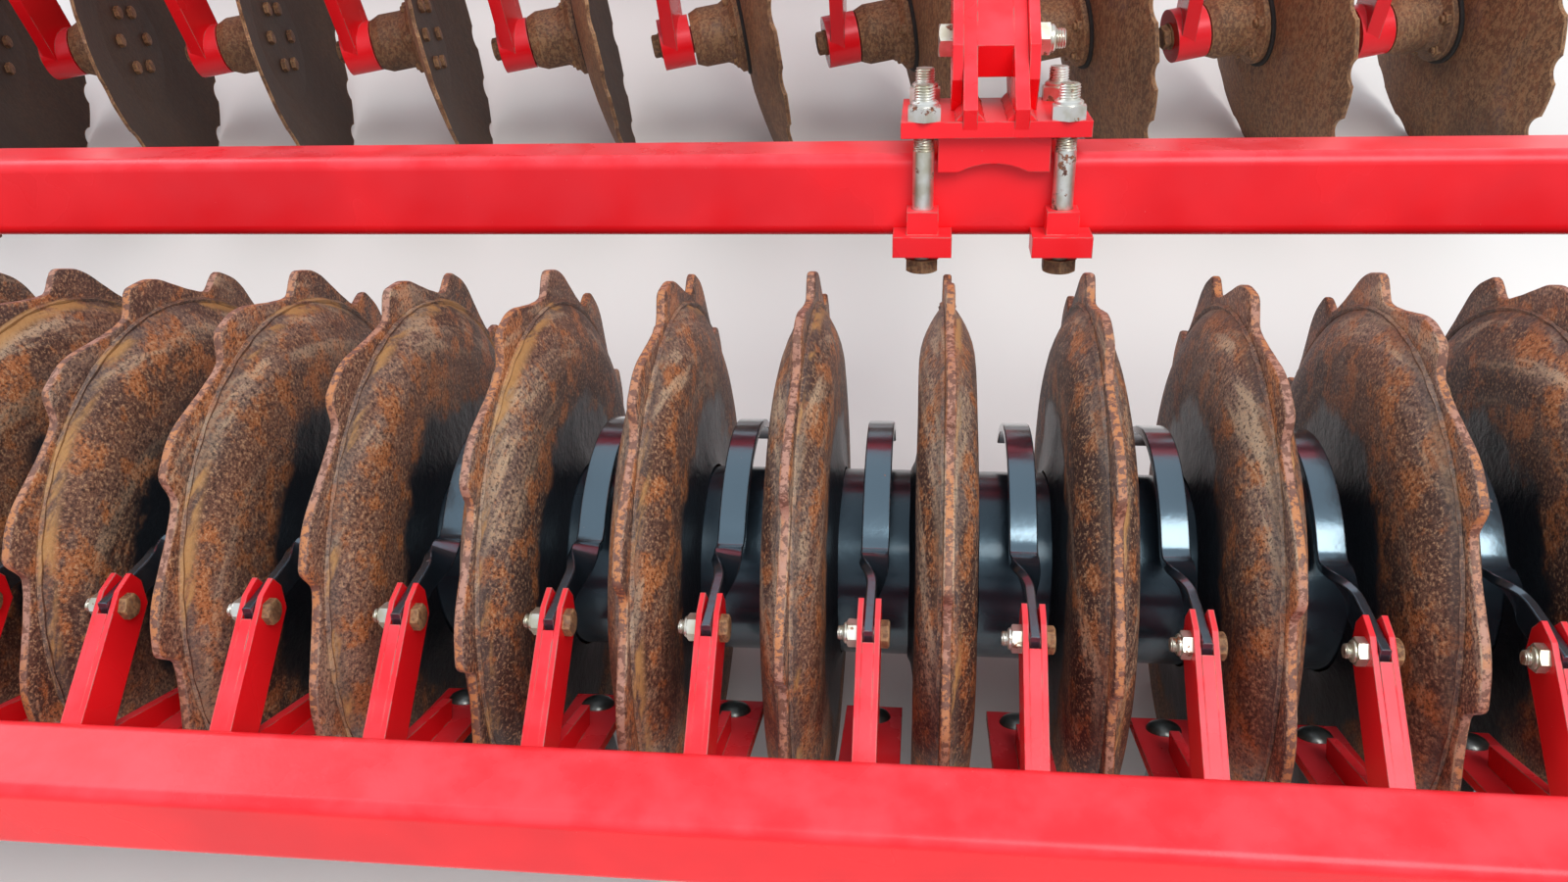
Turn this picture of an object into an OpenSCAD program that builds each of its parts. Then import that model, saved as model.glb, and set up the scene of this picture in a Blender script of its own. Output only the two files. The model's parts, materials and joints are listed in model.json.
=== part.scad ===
// Mounted compact disc harrow with two rows of single discs and a toothed packer roller.
// X is across the machine, +Y is the travel direction and Z is up, in millimetres.
// The origin is on the ground under the middle of the machine's box.
// Every Y written below is counted from the roller's axle; lay() brings it to the origin.

/* [Discs] */
// Radius of a disc blade
disc_r = 230; // [215:5:240]
// Radius of the ball that the blade is pressed from
dish_r = 735; // [680:5:800]
// Radius of the flat middle of a blade
flat_r = 100; // [90:5:110]
// Thickness of a blade
blade_t = 5; // [4:0.5:8]
// Number of shallow notches round a blade
notches = 16; // [10:1:20]
// Radius of one notch
notch_r = 30; // [22:1:36]
// How deep a notch cuts into the rim
notch_deep = 8; // [4:1:12]
// Distance from one disc to the next in a row
disc_pitch = 255; // [245:5:260]
// Angle of a disc to the travel direction
disc_angle = 14; // [8:1:18]
// Lean of a disc's axle, its hollow side up
disc_tilt = 2.7; // [1:0.1:4]
// From the roller's axle to the rear row's hubs
rear_row_y = 1015; // [1000:5:1060]
// From the rear row to the front row
row_gap = 880; // [800:10:960]

/* [Hubs and arms] */
// Radius of the hub's bolting flange
hub_flange_r = 62; // [56:1:72]
// Thickness of the bolting flange
hub_flange_t = 12; // [8:1:16]
// Radius of the hub's barrel
hub_barrel_r = 44; // [38:1:50]
// Length of the hub behind the blade
hub_len = 80; // [70:1:90]
// Radius of the fixed spindle in the hub
spindle_r = 20; // [16:1:24]
// Running clearance round the spindle
spindle_gap = 0.1; // [0.05:0.05:0.1]
// Gap between the hub and the arm's boss
hub_gap = 2; // [2:0.5:4]
// Radius of the boss at the foot of an arm
boss_r = 38; // [34:1:44]
// Distance from the blade to the middle of its arm
arm_back = 108; // [104:1:112]
// Width of an arm seen from the side
arm_w = 72; // [60:2:90]
// Thickness of an arm
arm_t = 20; // [14:1:22]
// Radius of the bend in the middle of an arm
arm_bend_r = 190; // [150:5:200]
// From a hub forward to the middle of its crossbeam
arm_reach = 300; // [290:5:340]
// Side of the square shaft in the rubber clamp
shaft_a = 56; // [48:1:58]
// Outside of the clamp housing
housing_a = 100; // [96:1:110]
// Wall of the clamp housing
housing_wall = 8; // [6:1:9]
// Length of one half of a clamp housing
housing_len = 40; // [30:1:44]
// Gap between an arm and its housing halves
housing_gap = 2; // [1:0.5:4]
// Thickness of the clamp plates over and under the crossbeam
strap_t = 12; // [8:1:16]
// Length of the clamp plates along the travel direction
strap_l = 160; // [150:5:180]
// Width of the upper clamp plate
strap_w = 50; // [46:2:70]

/* [Frame] */
// Side of the square frame tubes
tube_a = 100; // [90:5:120]
// Wall of the frame tubes
tube_wall = 8; // [5:1:10]
// Corner radius of the frame tubes
tube_corner = 14; // [10:1:18]
// Height of the underside of the crossbeams
frame_clear = 700; // [690:5:740]
// How far a crossbeam runs past the last rubber clamp
beam_past = 3; // [2:1:40]
// Thickness of the end caps
cap_t = 6; // [4:1:10]
// Height of the lower hitch pins
hitch_z = 560; // [540:5:600]
// From the front crossbeam forward to the lower hitch pins
hitch_reach = 225; // [215:5:260]
// Distance between the shoulders of the lower hitch pins
hitch_spread = 825; // [825:5:870]
// Gap between the two plates of a lower hitch lug
hitch_gap = 30; // [28:1:32]
// Thickness of the collar on a lower hitch pin
hitch_collar = 8; // [6:1:10]
// Free length of a lower hitch pin
hitch_free = 68; // [60:1:75]
// Plate thickness of the hitch
hitch_plate = 12; // [10:1:16]
// Radius of the lower hitch pins
hitch_pin_r = 14.2; // [14:0.1:18]
// From the lower hitch pins up to the top link pin
mast_rise = 610; // [600:5:640]
// Gap in the top link clevis
top_gap = 54; // [50:1:60]
// Radius of the holes for the top link pin
top_hole_r = 12.8; // [12.8:0.1:16]
// Clearance of a pin in its plates
pin_gap = 0.25; // [0.2:0.05:0.5]

/* [Roller] */
// Radius over the teeth of a ring
ring_r = 278; // [270:1:285]
// Radius at the bottom of a gullet
gullet_r = 256; // [250:1:258]
// Teeth on one ring
ring_teeth = 12; // [12:1:12]
// Distance from one ring to the next
ring_pitch = 125; // [120:1:130]
// Number of rings
rings = 22; // [18:2:22]
// Thickness of the toothed plate
ring_plate = 8; // [6:0.5:10]
// Half width of the pressed shells
shell_half = 26; // [22:1:28]
// Radius where the shells meet the toothed plate
shell_top_r = 245; // [242:1:247]
// Wall of the pressed shells
shell_t = 5; // [4:0.5:6]
// Radius of the drum tube
drum_r = 88; // [84:1:90]
// Wall of the drum tube
drum_wall = 8; // [6:1:10]
// Radius of the roller's stub shafts
stub_r = 25; // [20:1:28]
// Height of the roller's axle
axle_z = 276.8; // [270:0.1:285]

/* [Roller frame] */
// Side of the square toolbar
toolbar_a = 80; // [76:1:84]
// Wall of the toolbar
toolbar_wall = 8; // [5:1:10]
// Lean of the toolbar
toolbar_lean = 25; // [23:1:27]
// Side of the square scraper beam
beam_a = 70; // [68:1:74]
// Wall of the scraper beam
beam_wall = 6; // [4:1:8]
// Lean of the scraper beam
beam_lean = 14; // [13:1:15]
// Distance from the machine's middle to a roller arm
arm_x = 603; // [600:1:606]
// Width of a roller arm's box
rarm_w = 56; // [50:1:56]
// Height of a roller arm's box at the clamp
rarm_h = 84; // [76:1:90]
// Height of a roller arm's box at its pivot
rarm_top_h = 66; // [60:1:68]
// Thickness of the roller's end plates
end_plate_t = 12; // [8:1:15]
// Gap between the last ring and an end plate
end_gap = 22; // [16:1:30]

/* [Clamps] */
// Width of the clamp's top plate
clamp_w = 174; // [170:1:180]
// Thickness of the clamp's top plate
clamp_t = 15; // [12:1:18]
// Length of the clamp's top plate across the toolbar
clamp_l = 128; // [124:1:136]
// Height of the saddle between toolbar and top plate
saddle_t = 20; // [16:1:24]
// Distance between the clamp bolts along the toolbar
clamp_bolt_dx = 131; // [126:1:136]
// Radius of the clamp bolts
clamp_bolt_r = 10; // [8:0.5:12]
// Clearance from the clamp bolts to the toolbar
clamp_bolt_gap = 2; // [1:0.5:4]
// Thickness of a lug
lug_t = 13; // [10:1:14]
// Gap between the two lugs of a clamp
lug_gap = 34; // [32:1:36]
// Thickness of the cheeks beside the lugs
cheek_t = 10; // [8:1:12]

/* [Scrapers] */
// Width of a scraper arm at its fork
fork_w = 18; // [17:1:22]
// Thickness of a scraper strap
strip_t = 8; // [6:1:9]
// Width of a scraper strap
strip_w = 24; // [22:1:28]
// Radius of the strap over the drum, to its outside
strip_r = 135; // [132:1:140]
// Sideways offset of the scrapers from the middle between two rings
scraper_shift = 3; // [0:0.5:5]
// Width of the tongue plate under a scraper arm
tongue_w = 50; // [44:1:54]

/* [Hidden] */
$fn = 48;

// Discs in the two rows
front_discs = 10;
rear_discs = 11;

// Driving places, counted from the roller's axle
front_row_y = rear_row_y + row_gap;
rear_beam_y = rear_row_y + arm_reach;
front_beam_y = front_row_y + arm_reach;
beam_z = frame_clear + tube_a / 2;
hitch_y = front_beam_y + hitch_reach;
hitch_eye = 45;
nose_y = hitch_y + hitch_eye;
tail_y = -366;
roller_y = -(nose_y + tail_y) / 2;
dish_lift = sqrt(dish_r * dish_r - flat_r * flat_r);
function dish_at(r, ball) = dish_lift - sqrt(ball * ball - r * r);
hub_z = disc_r * cos(disc_tilt) - dish_at(disc_r, dish_r) * sin(disc_tilt);
hub_s = arm_back;
arm_foot_x = hub_s * cos(disc_tilt) * cos(disc_angle);
arm_foot_y = -hub_s * cos(disc_tilt) * sin(disc_angle);
arm_foot_z = -hub_s * sin(disc_tilt);
shaft_z = frame_clear - housing_a / 2;
clamp_half = arm_t / 2 + housing_gap + housing_len;
crossbeam_l = (rear_discs - 1) * disc_pitch + 2 * (arm_foot_x + clamp_half + beam_past);

// The toolbar and the scraper beam of the roller frame
toolbar_y = 307.5;
toolbar_z = 483;
beam_y = -316.5;
scraper_beam_z = 402.5;
ring_span = (rings - 1) * ring_pitch;
frame_in = ring_span / 2 + shell_half + end_gap;
toolbar_l = 2 * frame_in;

// The roller arm runs from the first arm bolt up to its pivot
bolt1 = [400, 588];
arm_slope = 10.6;
pivot_y = rear_beam_y - tube_a / 2 - 110;
pivot_z = bolt1[1] + (pivot_y - bolt1[0]) * tan(arm_slope);
guide_r = 200;
guide_pin_r = 12;
pivot_pin_r = 20;
pivot_tube_r = 34;
quad_in = rarm_w / 2 + 5;
quad_t = 9;
depth_up = 9;
depth_down = 2;

// Brings a piece from the axle's frame to the machine's origin
module lay() {
    translate([0, roller_y, 0]) children();
}

// Extrudes an outline drawn in Y and Z along X, centred
module along_x(len) {
    rotate([90, 0, 90]) linear_extrude(height = len, center = true) children();
}

// Rounded square outline with true arcs
module round_square(a, r) {
    square([a - 2 * r, a], center = true);
    square([a, a - 2 * r], center = true);
    for (x = [-1, 1], y = [-1, 1])
        translate([x * (a / 2 - r), y * (a / 2 - r)]) circle(r);
}

// Square tube along X
module tube_x(a, wall, corner, len) {
    along_x(len) difference() {
        round_square(a, corner);
        round_square(a - 2 * wall, max(corner - wall, 2));
    }
}

// Pin or bolt shank along X
module rod_x(r, len) {
    rotate([0, 90, 0]) cylinder(r = r, h = len, center = true);
}

// Flat bar from one point to another in the YZ plane, thick along X
module bar_yz(p, q, wide, thick) {
    d = q - p;
    translate([0, p[0], p[1]]) rotate([atan2(d[1], d[0]), 0, 0])
        translate([-thick / 2, 0, -wide / 2]) cube([thick, norm(d), wide]);
}

// Scalloped outline of a blade
module blade_outline() {
    difference() {
        circle(disc_r, $fn = 120);
        for (k = [0:notches - 1])
            rotate(360 / notches * (k + 0.5))
                translate([disc_r + notch_r - notch_deep, 0]) circle(notch_r);
    }
}

// Half section of a blade: flat in the middle, then the arc of the ball
module blade_profile() {
    steps = 6;
    out = disc_r + 1;
    function at(k) = flat_r + (out - flat_r) * k / steps;
    polygon(concat([[0, 0]], [for (k = [0:steps]) [at(k), dish_at(at(k), dish_r)]],
        [for (k = [steps:-1:0]) [at(k), dish_at(at(k), dish_r - blade_t)]],
        [[0, dish_at(flat_r, dish_r - blade_t)]]));
}

// Blade and hub, its axis along X, the hollow side towards +X
module disc_unit() {
    color("saddlebrown") difference() {
        union() {
            rotate([0, 90, 0]) intersection() {
                rotate_extrude($fn = 120) blade_profile();
                translate([0, 0, -1]) linear_extrude(height = disc_r / 2) blade_outline();
            }
            rotate([0, -90, 0]) rotate_extrude($fn = 64) polygon([
                [0, -4], [hub_flange_r, -4], [hub_flange_r, hub_flange_t],
                [hub_barrel_r + 6, hub_flange_t + 8],
                [hub_barrel_r, hub_flange_t + 20], [hub_barrel_r, hub_len - 14],
                [hub_barrel_r - 6, hub_len], [0, hub_len]]);
        }
        translate([-hub_len - 1, 0, 0]) rotate([0, 90, 0])
            cylinder(r = spindle_r + spindle_gap, h = hub_len - hub_flange_t);
    }
}

// Places one row: side is 1 for the rear row and -1 for the mirrored front row
function discs(side) = side > 0 ? rear_discs : front_discs;
function row_x(i, side) = (i - (discs(side) + 1) / 2) * disc_pitch;
module disc_place(i, side) {
    lay() translate([row_x(i, side), side > 0 ? rear_row_y : front_row_y, hub_z])
        mirror([side > 0 ? 0 : 1, 0, 0]) rotate([0, -disc_tilt, disc_angle]) disc_unit();
}

// One arm: spindle, boss, leg, bend and the shaft in the rubber clamp
module disc_arm() {
    straight = shaft_z - hub_z - arm_bend_r;
    color("red") {
        rotate([0, -disc_tilt, disc_angle]) translate([-hub_s, 0, 0]) {
            translate([-22, 0, 0]) rotate([0, 90, 0])
                cylinder(r = boss_r, h = 22 + hub_s - hub_len - hub_gap);
            rotate([0, 90, 0]) cylinder(r = spindle_r, h = hub_s - hub_flange_t - 8);
        }
        translate([-arm_foot_x, arm_foot_y, 0]) {
            translate([-arm_t / 2, -arm_w / 2, arm_foot_z]) cube([arm_t, arm_w, straight - arm_foot_z]);
            translate([0, 0, arm_foot_z]) rod_x(arm_w / 2, arm_t);
            translate([0, arm_bend_r, straight]) rotate([90, 0, 90])
                rotate([0, 0, 90]) rotate_extrude(angle = 90, $fn = 96)
                    translate([arm_bend_r - arm_w / 2, -arm_t / 2]) square([arm_w, arm_t]);
            translate([-arm_t / 2, arm_bend_r, straight + arm_bend_r - arm_w / 2])
                cube([arm_t, arm_reach - arm_foot_y - arm_bend_r, arm_w]);
            translate([0, arm_reach - arm_foot_y, shaft_z - hub_z])
                rotate([45, 0, 0])
                    cube([arm_t + 2 * housing_gap + 2 * housing_len, shaft_a, shaft_a], center = true);
        }
    }
}
module arm_row(side) {
    for (i = [1:discs(side)])
        lay() translate([row_x(i, side), side > 0 ? rear_row_y : front_row_y, hub_z])
            mirror([side > 0 ? 0 : 1, 0, 0]) disc_arm();
}

// Places children at the middle of every rubber clamp of a row
module at_clamps(side) {
    for (i = [1:discs(side)])
        lay() translate([row_x(i, side) - side * arm_foot_x,
            side > 0 ? rear_beam_y : front_beam_y, shaft_z]) children();
}
module housing() {
    half_x = arm_t / 2 + housing_gap;
    color("red") {
        for (s = [-1, 1]) translate([s * (half_x + housing_len / 2), 0, 0])
            along_x(housing_len) difference() {
                square(housing_a, center = true);
                square(housing_a - 2 * housing_wall, center = true);
            }
        translate([-half_x - housing_len, -strap_l / 2, housing_a / 2 - housing_wall])
            cube([2 * (half_x + housing_len), strap_l, housing_wall]);
    }
}
module bushes() {
    half_x = arm_t / 2 + housing_gap;
    color("dimgray") for (s = [-1, 1]) translate([s * (half_x + housing_len / 2), 0, 0])
        along_x(housing_len) difference() {
            square(housing_a - 2 * housing_wall, center = true);
            rotate(45) square(shaft_a, center = true);
        }
}

module clamp_straps() {
    color("red") for (side = [-1, 1]) at_clamps(side)
        translate([-strap_w / 2, -strap_l / 2, housing_a / 2 + tube_a])
            cube([strap_w, strap_l, strap_t]);
}
module rubber_bushes() {
    for (side = [-1, 1]) at_clamps(side) bushes();
}

module crossbeam(y) {
    color("red") lay() translate([0, y, beam_z]) tube_x(tube_a, tube_wall, tube_corner, crossbeam_l);
}
module front_crossbeam() { crossbeam(front_beam_y); }
module rear_crossbeam() { crossbeam(rear_beam_y); }

module frame_rails() {
    len = row_gap - tube_a;
    color("red") for (s = [-1, 1])
        lay() translate([s * arm_x, rear_beam_y + tube_a / 2 + len / 2, beam_z])
            rotate([0, 0, 90]) tube_x(tube_a, tube_wall, tube_corner, len);
}

module frame_caps() {
    color("red") for (y = [front_beam_y, rear_beam_y], s = [-1, 1])
        lay() translate([s * (crossbeam_l + cap_t) / 2, y, beam_z])
            along_x(cap_t) round_square(tube_a, tube_corner);
}

// Lower hitch: two lugs of two plates each, with a pin that stands out sideways
lug_out = hitch_spread / 2 - hitch_collar;
lug_off = [lug_out - hitch_plate / 2, lug_out - 1.5 * hitch_plate - hitch_gap];
module hitch_outline() {
    face = front_beam_y + tube_a / 2;
    past = face + 42;
    difference() {
        union() {
            polygon([[face, frame_clear + 6], [face, frame_clear + tube_a],
                [face + 60, frame_clear + tube_a], [nose_y, hitch_z + 60],
                [nose_y, hitch_z], [hitch_y - hitch_eye, hitch_z],
                [past, hitch_z + 60], [past, frame_clear + 6]]);
            translate([hitch_y, hitch_z]) circle(hitch_eye);
        }
        translate([hitch_y, hitch_z]) circle(hitch_pin_r);
    }
}
module hitch_lugs() {
    color("red") for (s = [-1, 1], x = lug_off)
        lay() translate([s * x, 0, 0]) along_x(hitch_plate) hitch_outline();
}
module hitch_pins() {
    inner = lug_off[1] - hitch_plate / 2 - 6;
    color("silver") for (s = [-1, 1]) lay() translate([0, hitch_y, hitch_z])
        rotate([0, s * 90, 0]) union() {
            translate([0, 0, inner]) cylinder(r = hitch_pin_r, h = hitch_spread / 2 + hitch_free - inner);
            translate([0, 0, lug_out]) cylinder(r = hitch_pin_r + 9, h = hitch_collar);
            translate([0, 0, hitch_spread / 2 + hitch_free])
                cylinder(r1 = hitch_pin_r, r2 = hitch_pin_r - 5, h = 6);
        }
}

// Mast: two legs from the front crossbeam to a clevis for the top link
mast_y = front_beam_y + tube_a / 2;
top_z = hitch_z + mast_rise;
top_y = hitch_y - 60;
mast_t = 15;
mast_foot_x = 170;
mast_foot_z = frame_clear + tube_a - 60;
leg_w = 70;
head_z = top_z - 170;
module mast_head() {
    off = (top_gap + hitch_plate) / 2;
    half = off + hitch_plate / 2;
    color("red") difference() {
        lay() union() {
            for (s = [-1, 1]) translate([s * off, 0, 0]) along_x(hitch_plate)
                polygon([[mast_y, head_z - 20], [mast_y, top_z - 60], [top_y - 40, top_z + 20],
                    [top_y, top_z + 45], [top_y + 45, top_z], [top_y + 40, top_z - 60],
                    [mast_y + 30, head_z - 20]]);
            translate([-half, mast_y, head_z]) cube([2 * half, mast_t, 110]);
        }
        lay() translate([0, top_y, top_z]) rod_x(top_hole_r, 200);
    }
}
module mast_legs() {
    half = top_gap / 2 + hitch_plate;
    color("red") lay() for (s = [-1, 1])
        translate([0, mast_y + mast_t, 0]) rotate([90, 0, 0]) linear_extrude(height = mast_t)
            polygon([[s * half, head_z + 110], [s * half, head_z + 10],
                [s * (mast_foot_x - leg_w / 2), mast_foot_z],
                [s * (mast_foot_x + leg_w / 2), mast_foot_z]]);
}
module mast_brace() {
    half = top_gap / 2;
    p = [mast_y - 1, top_z - 110];
    q = [rear_beam_y, frame_clear + tube_a + 8];
    color("red") lay() union() {
        for (s = [-1, 1]) translate([s * (half + hitch_plate / 2), 0, 0])
            along_x(hitch_plate) polygon([[mast_y, top_z - 160], [mast_y, top_z - 90],
                [mast_y - 90, top_z - 110], [mast_y - 90, top_z - 180]]);
        intersection() {
            bar_yz(p, q + [-40, -6], 60, top_gap + 2);
            translate([-100, rear_beam_y - 45, frame_clear + tube_a])
                cube([200, row_gap + 45 + tube_a / 2, 400]);
        }
    }
}

// Plates beside the roller arms, with the pivot bore and the curved slot
module quadrant_outline() {
    face = rear_beam_y - tube_a / 2;
    difference() {
        polygon([[rear_beam_y - strap_l / 2 - 4, frame_clear + 4], [face, frame_clear + 4],
            [face, frame_clear + tube_a - 14], [pivot_y - 40, pivot_z + 100],
            [pivot_y - guide_r - 30, pivot_z + 60], [pivot_y - guide_r - 45, pivot_z - 20],
            [pivot_y - guide_r - 20, pivot_z - 90], [pivot_y + 20, pivot_z - 48]]);
        translate([pivot_y, pivot_z]) circle(pivot_pin_r + pin_gap);
        translate([pivot_y, pivot_z]) arc_slot(180 + arm_slope, guide_r, guide_pin_r + 1);
    }
}
// Slot round the pivot for the guide pin, from its lowest to its highest place
module arc_slot(rest, r, half) {
    low = rest + depth_down;
    high = rest - depth_up;
    steps = 8;
    polygon(concat(
        [for (k = [0:steps]) let(a = high + (low - high) * k / steps) (r + half) * [cos(a), sin(a)]],
        [for (k = [steps:-1:0]) let(a = high + (low - high) * k / steps) (r - half) * [cos(a), sin(a)]]));
    for (a = [low, high]) translate(r * [cos(a), sin(a)]) circle(half);
}
module depth_quadrants() {
    color("red") for (s = [-1, 1], d = [-1, 1])
        lay() translate([s * arm_x + d * (quad_in + quad_t / 2), 0, 0])
            along_x(quad_t) quadrant_outline();
}
module pivot_pins() {
    len = 2 * (quad_in + quad_t);
    color("silver") for (s = [-1, 1]) lay() translate([s * arm_x, pivot_y, pivot_z]) {
        rod_x(pivot_pin_r, len + 10);
        for (d = [-1, 1]) translate([d * (len / 2 + 4.5), 0, 0]) rod_x(pivot_pin_r + 4, 8);
    }
}
guide_at = [pivot_y - guide_r * cos(arm_slope), pivot_z - guide_r * sin(arm_slope)];
module guide_pins() {
    len = 2 * (quad_in + quad_t);
    color("silver") for (s = [-1, 1]) lay() translate([s * arm_x, guide_at[0], guide_at[1]]) {
        rod_x(guide_pin_r, len + 24);
        for (d = [-1, 1]) translate([d * (len / 2 + 10), 0, 0]) rod_x(guide_pin_r + 8, 8);
    }
}

// Roller arm: a box from the pivot down to two cheeks that take the clamp's lugs
bolt2 = bolt1 + 120 * [cos(arm_slope), sin(arm_slope)];
box_from = bolt1 + 175 * [cos(arm_slope), sin(arm_slope)];
arm_up = [-sin(arm_slope), cos(arm_slope)];
pivot = [pivot_y, pivot_z];
cheek_in = lug_gap / 2 + lug_t + 0.3;
module roller_arms() {
    color("red") for (s = [-1, 1]) lay() translate([s * arm_x, 0, 0]) difference() {
        union() {
            along_x(rarm_w) polygon([box_from - rarm_h / 2 * arm_up, pivot - rarm_top_h / 2 * arm_up,
                pivot + rarm_top_h / 2 * arm_up, box_from + rarm_h / 2 * arm_up]);
            translate([0, pivot_y, pivot_z]) rod_x(pivot_tube_r, 2 * quad_in - 0.6);
            for (d = [-1, 1]) translate([d * (cheek_in + cheek_t / 2), 0, 0]) along_x(cheek_t)
                translate(bolt1) rotate(arm_slope)
                    polygon([[-50, 40], [-72, 18], [-72, -34], [-50, -42], [330, -42], [330, 40]]);
            translate([0, box_from[0], box_from[1]]) rotate([arm_slope, 0, 0])
                translate([-cheek_in - 1, 0, -rarm_h / 2]) cube([2 * cheek_in + 2, 12, rarm_h]);
        }
        translate([0, pivot_y, pivot_z]) rod_x(pivot_pin_r + 0.1, 200);
        translate([0, guide_at[0], guide_at[1]]) rod_x(guide_pin_r, 200);
        for (b = [bolt1, bolt2]) translate([0, b[0], b[1]]) rod_x(clamp_bolt_r, 200);
        toolbar_frame() translate([-100, -clamp_l / 2, 0])
            cube([200, clamp_l, toolbar_a / 2 + saddle_t + clamp_t + 0.3]);
    }
}
module arm_bolts() {
    len = 2 * (cheek_in + cheek_t);
    color("silver") for (s = [-1, 1], b = [bolt1, bolt2])
        lay() translate([s * arm_x, b[0], b[1]]) {
            rod_x(clamp_bolt_r, len + 2);
            translate([-len / 2 - 6.5, 0, 0]) rod_x(15 / cos(30), 13, $fn = 6);
            translate([len / 2 + 8, 0, 0]) rod_x(15 / cos(30), 16, $fn = 6);
            translate([len / 2 + 20, 0, 0]) rod_x(clamp_bolt_r, 12);
        }
}

// Local frame of the toolbar: Y forward across it, Z up its lean
module toolbar_frame() {
    translate([0, toolbar_y, toolbar_z]) rotate([-toolbar_lean, 0, 0]) children();
}
module at_toolbar() {
    lay() toolbar_frame() children();
}
module toolbar() {
    color("red") at_toolbar() tube_x(toolbar_a, toolbar_wall, 12, toolbar_l);
}
bolt_v = toolbar_a / 2 + clamp_bolt_gap + clamp_bolt_r;
plate_u = toolbar_a / 2 + saddle_t;
function from_toolbar(v, u) = [
    toolbar_y + v * cos(toolbar_lean) + u * sin(toolbar_lean),
    toolbar_z - v * sin(toolbar_lean) + u * cos(toolbar_lean)];

module clamp_brackets() {
    rear_top = from_toolbar(-clamp_l / 2, plate_u + clamp_t);
    front_top = from_toolbar(clamp_l / 2 - 4, plate_u + clamp_t);
    rear_in = from_toolbar(-clamp_l / 2, plate_u + clamp_t / 2);
    front_in = from_toolbar(clamp_l / 2 - 4, plate_u + clamp_t / 2);
    tip = bolt1 + 160 * [cos(arm_slope), sin(arm_slope)];
    up = 36;
    color("red") for (s = [-1, 1]) difference() {
        union() {
            translate([s * arm_x, 0, 0]) at_toolbar() {
                translate([-clamp_w / 2, -clamp_l / 2, plate_u]) cube([clamp_w, clamp_l, clamp_t]);
                translate([-52, -toolbar_a / 2 - 12, toolbar_a / 2])
                    cube([104, toolbar_a + 24, saddle_t]);
                for (v = [-1, 1]) difference() {
                    translate([-52, v * (toolbar_a / 2 + 6) - 6, toolbar_a / 2 - 14])
                        cube([104, 12, 15]);
                    translate([0, v * (toolbar_a / 2 + 6), toolbar_a / 2 - 76])
                        rotate([90, 0, 0]) cylinder(r = 70, h = 30, center = true);
                }
            }
            lay() translate([s * arm_x, 0, 0]) {
                for (d = [-1, 1]) translate([d * (lug_gap + lug_t) / 2, 0, 0]) along_x(lug_t)
                    polygon([rear_in, rear_top + [1, 12], tip + [0, up], tip - [0, 44],
                        front_in + [50, 10], front_in]);
                along_x(lug_gap) polygon([bolt1 + [-42, up - 16], tip + [0, up - 7],
                    tip - [0, 36], bolt1 + [-42, -14]]);
            }
        }
        translate([s * arm_x, 0, 0]) {
            at_toolbar() for (x = [-1, 1], v = [-1, 1])
                translate([x * clamp_bolt_dx / 2, v * bolt_v, plate_u - 1])
                    cylinder(r = clamp_bolt_r + 0.3, h = clamp_t + 2);
            lay() for (b = [bolt1, bolt2]) translate([0, b[0], b[1]]) rod_x(clamp_bolt_r + 0.3, 100);
        }
    }
}

// Bars under the toolbar with an ear and a collar for each bolt
foot_u = -toolbar_a / 2;
module clamp_feet() {
    color("red") for (s = [-1, 1], x = [-1, 1]) difference() {
        translate([s * arm_x + x * clamp_bolt_dx / 2, 0, 0]) at_toolbar() {
            translate([-16, -toolbar_a / 2 - 20, foot_u - 16]) cube([32, toolbar_a + 40, 16]);
            for (v = [-1, 1]) {
                translate([-28, v > 0 ? toolbar_a / 2 : -toolbar_a / 2 - 36, foot_u - 10])
                    cube([56, 36, 20]);
                translate([-15, v > 0 ? toolbar_a / 2 : -toolbar_a / 2 - 28, foot_u + 8])
                    cube([30, 28, 24]);
            }
        }
        translate([s * arm_x + x * clamp_bolt_dx / 2, 0, 0]) at_toolbar()
            for (v = [-1, 1]) translate([0, v * bolt_v, foot_u - 30])
                cylinder(r = clamp_bolt_r + 0.3, h = 80);
    }
}
module clamp_bolts() {
    low = foot_u - 16;
    color("silver") for (s = [-1, 1], x = [-1, 1], v = [-1, 1])
        translate([s * arm_x + x * clamp_bolt_dx / 2, 0, 0]) at_toolbar()
            translate([0, v * bolt_v, 0]) {
                translate([0, 0, low]) cylinder(r = clamp_bolt_r, h = plate_u + clamp_t + 32 - low);
                translate([0, 0, low - 13]) cylinder(r = 15 / cos(30), h = 13, $fn = 6);
                translate([0, 0, plate_u + clamp_t]) cylinder(r = 15 / cos(30), h = 16, $fn = 6);
            }
}

// End plates carry the toolbar, the bearings and the scraper beam
module end_plates() {
    t_rear = from_toolbar(-toolbar_a / 2 - 8, toolbar_a / 2 + 8);
    t_top = from_toolbar(toolbar_a / 2 + 8, toolbar_a / 2 + 8);
    t_low = from_toolbar(toolbar_a / 2 + 8, -toolbar_a / 2 - 8);
    color("red") for (s = [-1, 1])
        lay() translate([s * (frame_in + end_plate_t / 2), 0, 0]) along_x(end_plate_t) difference() {
            union() {
                polygon([t_rear, t_top, t_low, [95, axle_z - 40], [70, axle_z - 85],
                    [-70, axle_z - 85], [-95, axle_z - 40], [-330, 352], [-366, 362],
                    [-366, 450], [-280, 450], [-180, 400], [0, 400]]);
            }
            translate([0, axle_z]) circle(stub_r + 12);
        }
}
module roller_bearings() {
    color("dimgray") for (s = [-1, 1])
        lay() translate([s * (frame_in + end_plate_t), 0, axle_z]) difference() {
            union() {
                translate([s * 7, 0, 0]) rod_x(64, 14);
                translate([s * 22, 0, 0]) rod_x(46, 30);
                translate([s * -6, 0, 0]) rod_x(stub_r + 11.7, 12);
            }
            rod_x(stub_r + 0.1, 2 * 60);
        }
}

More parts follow.
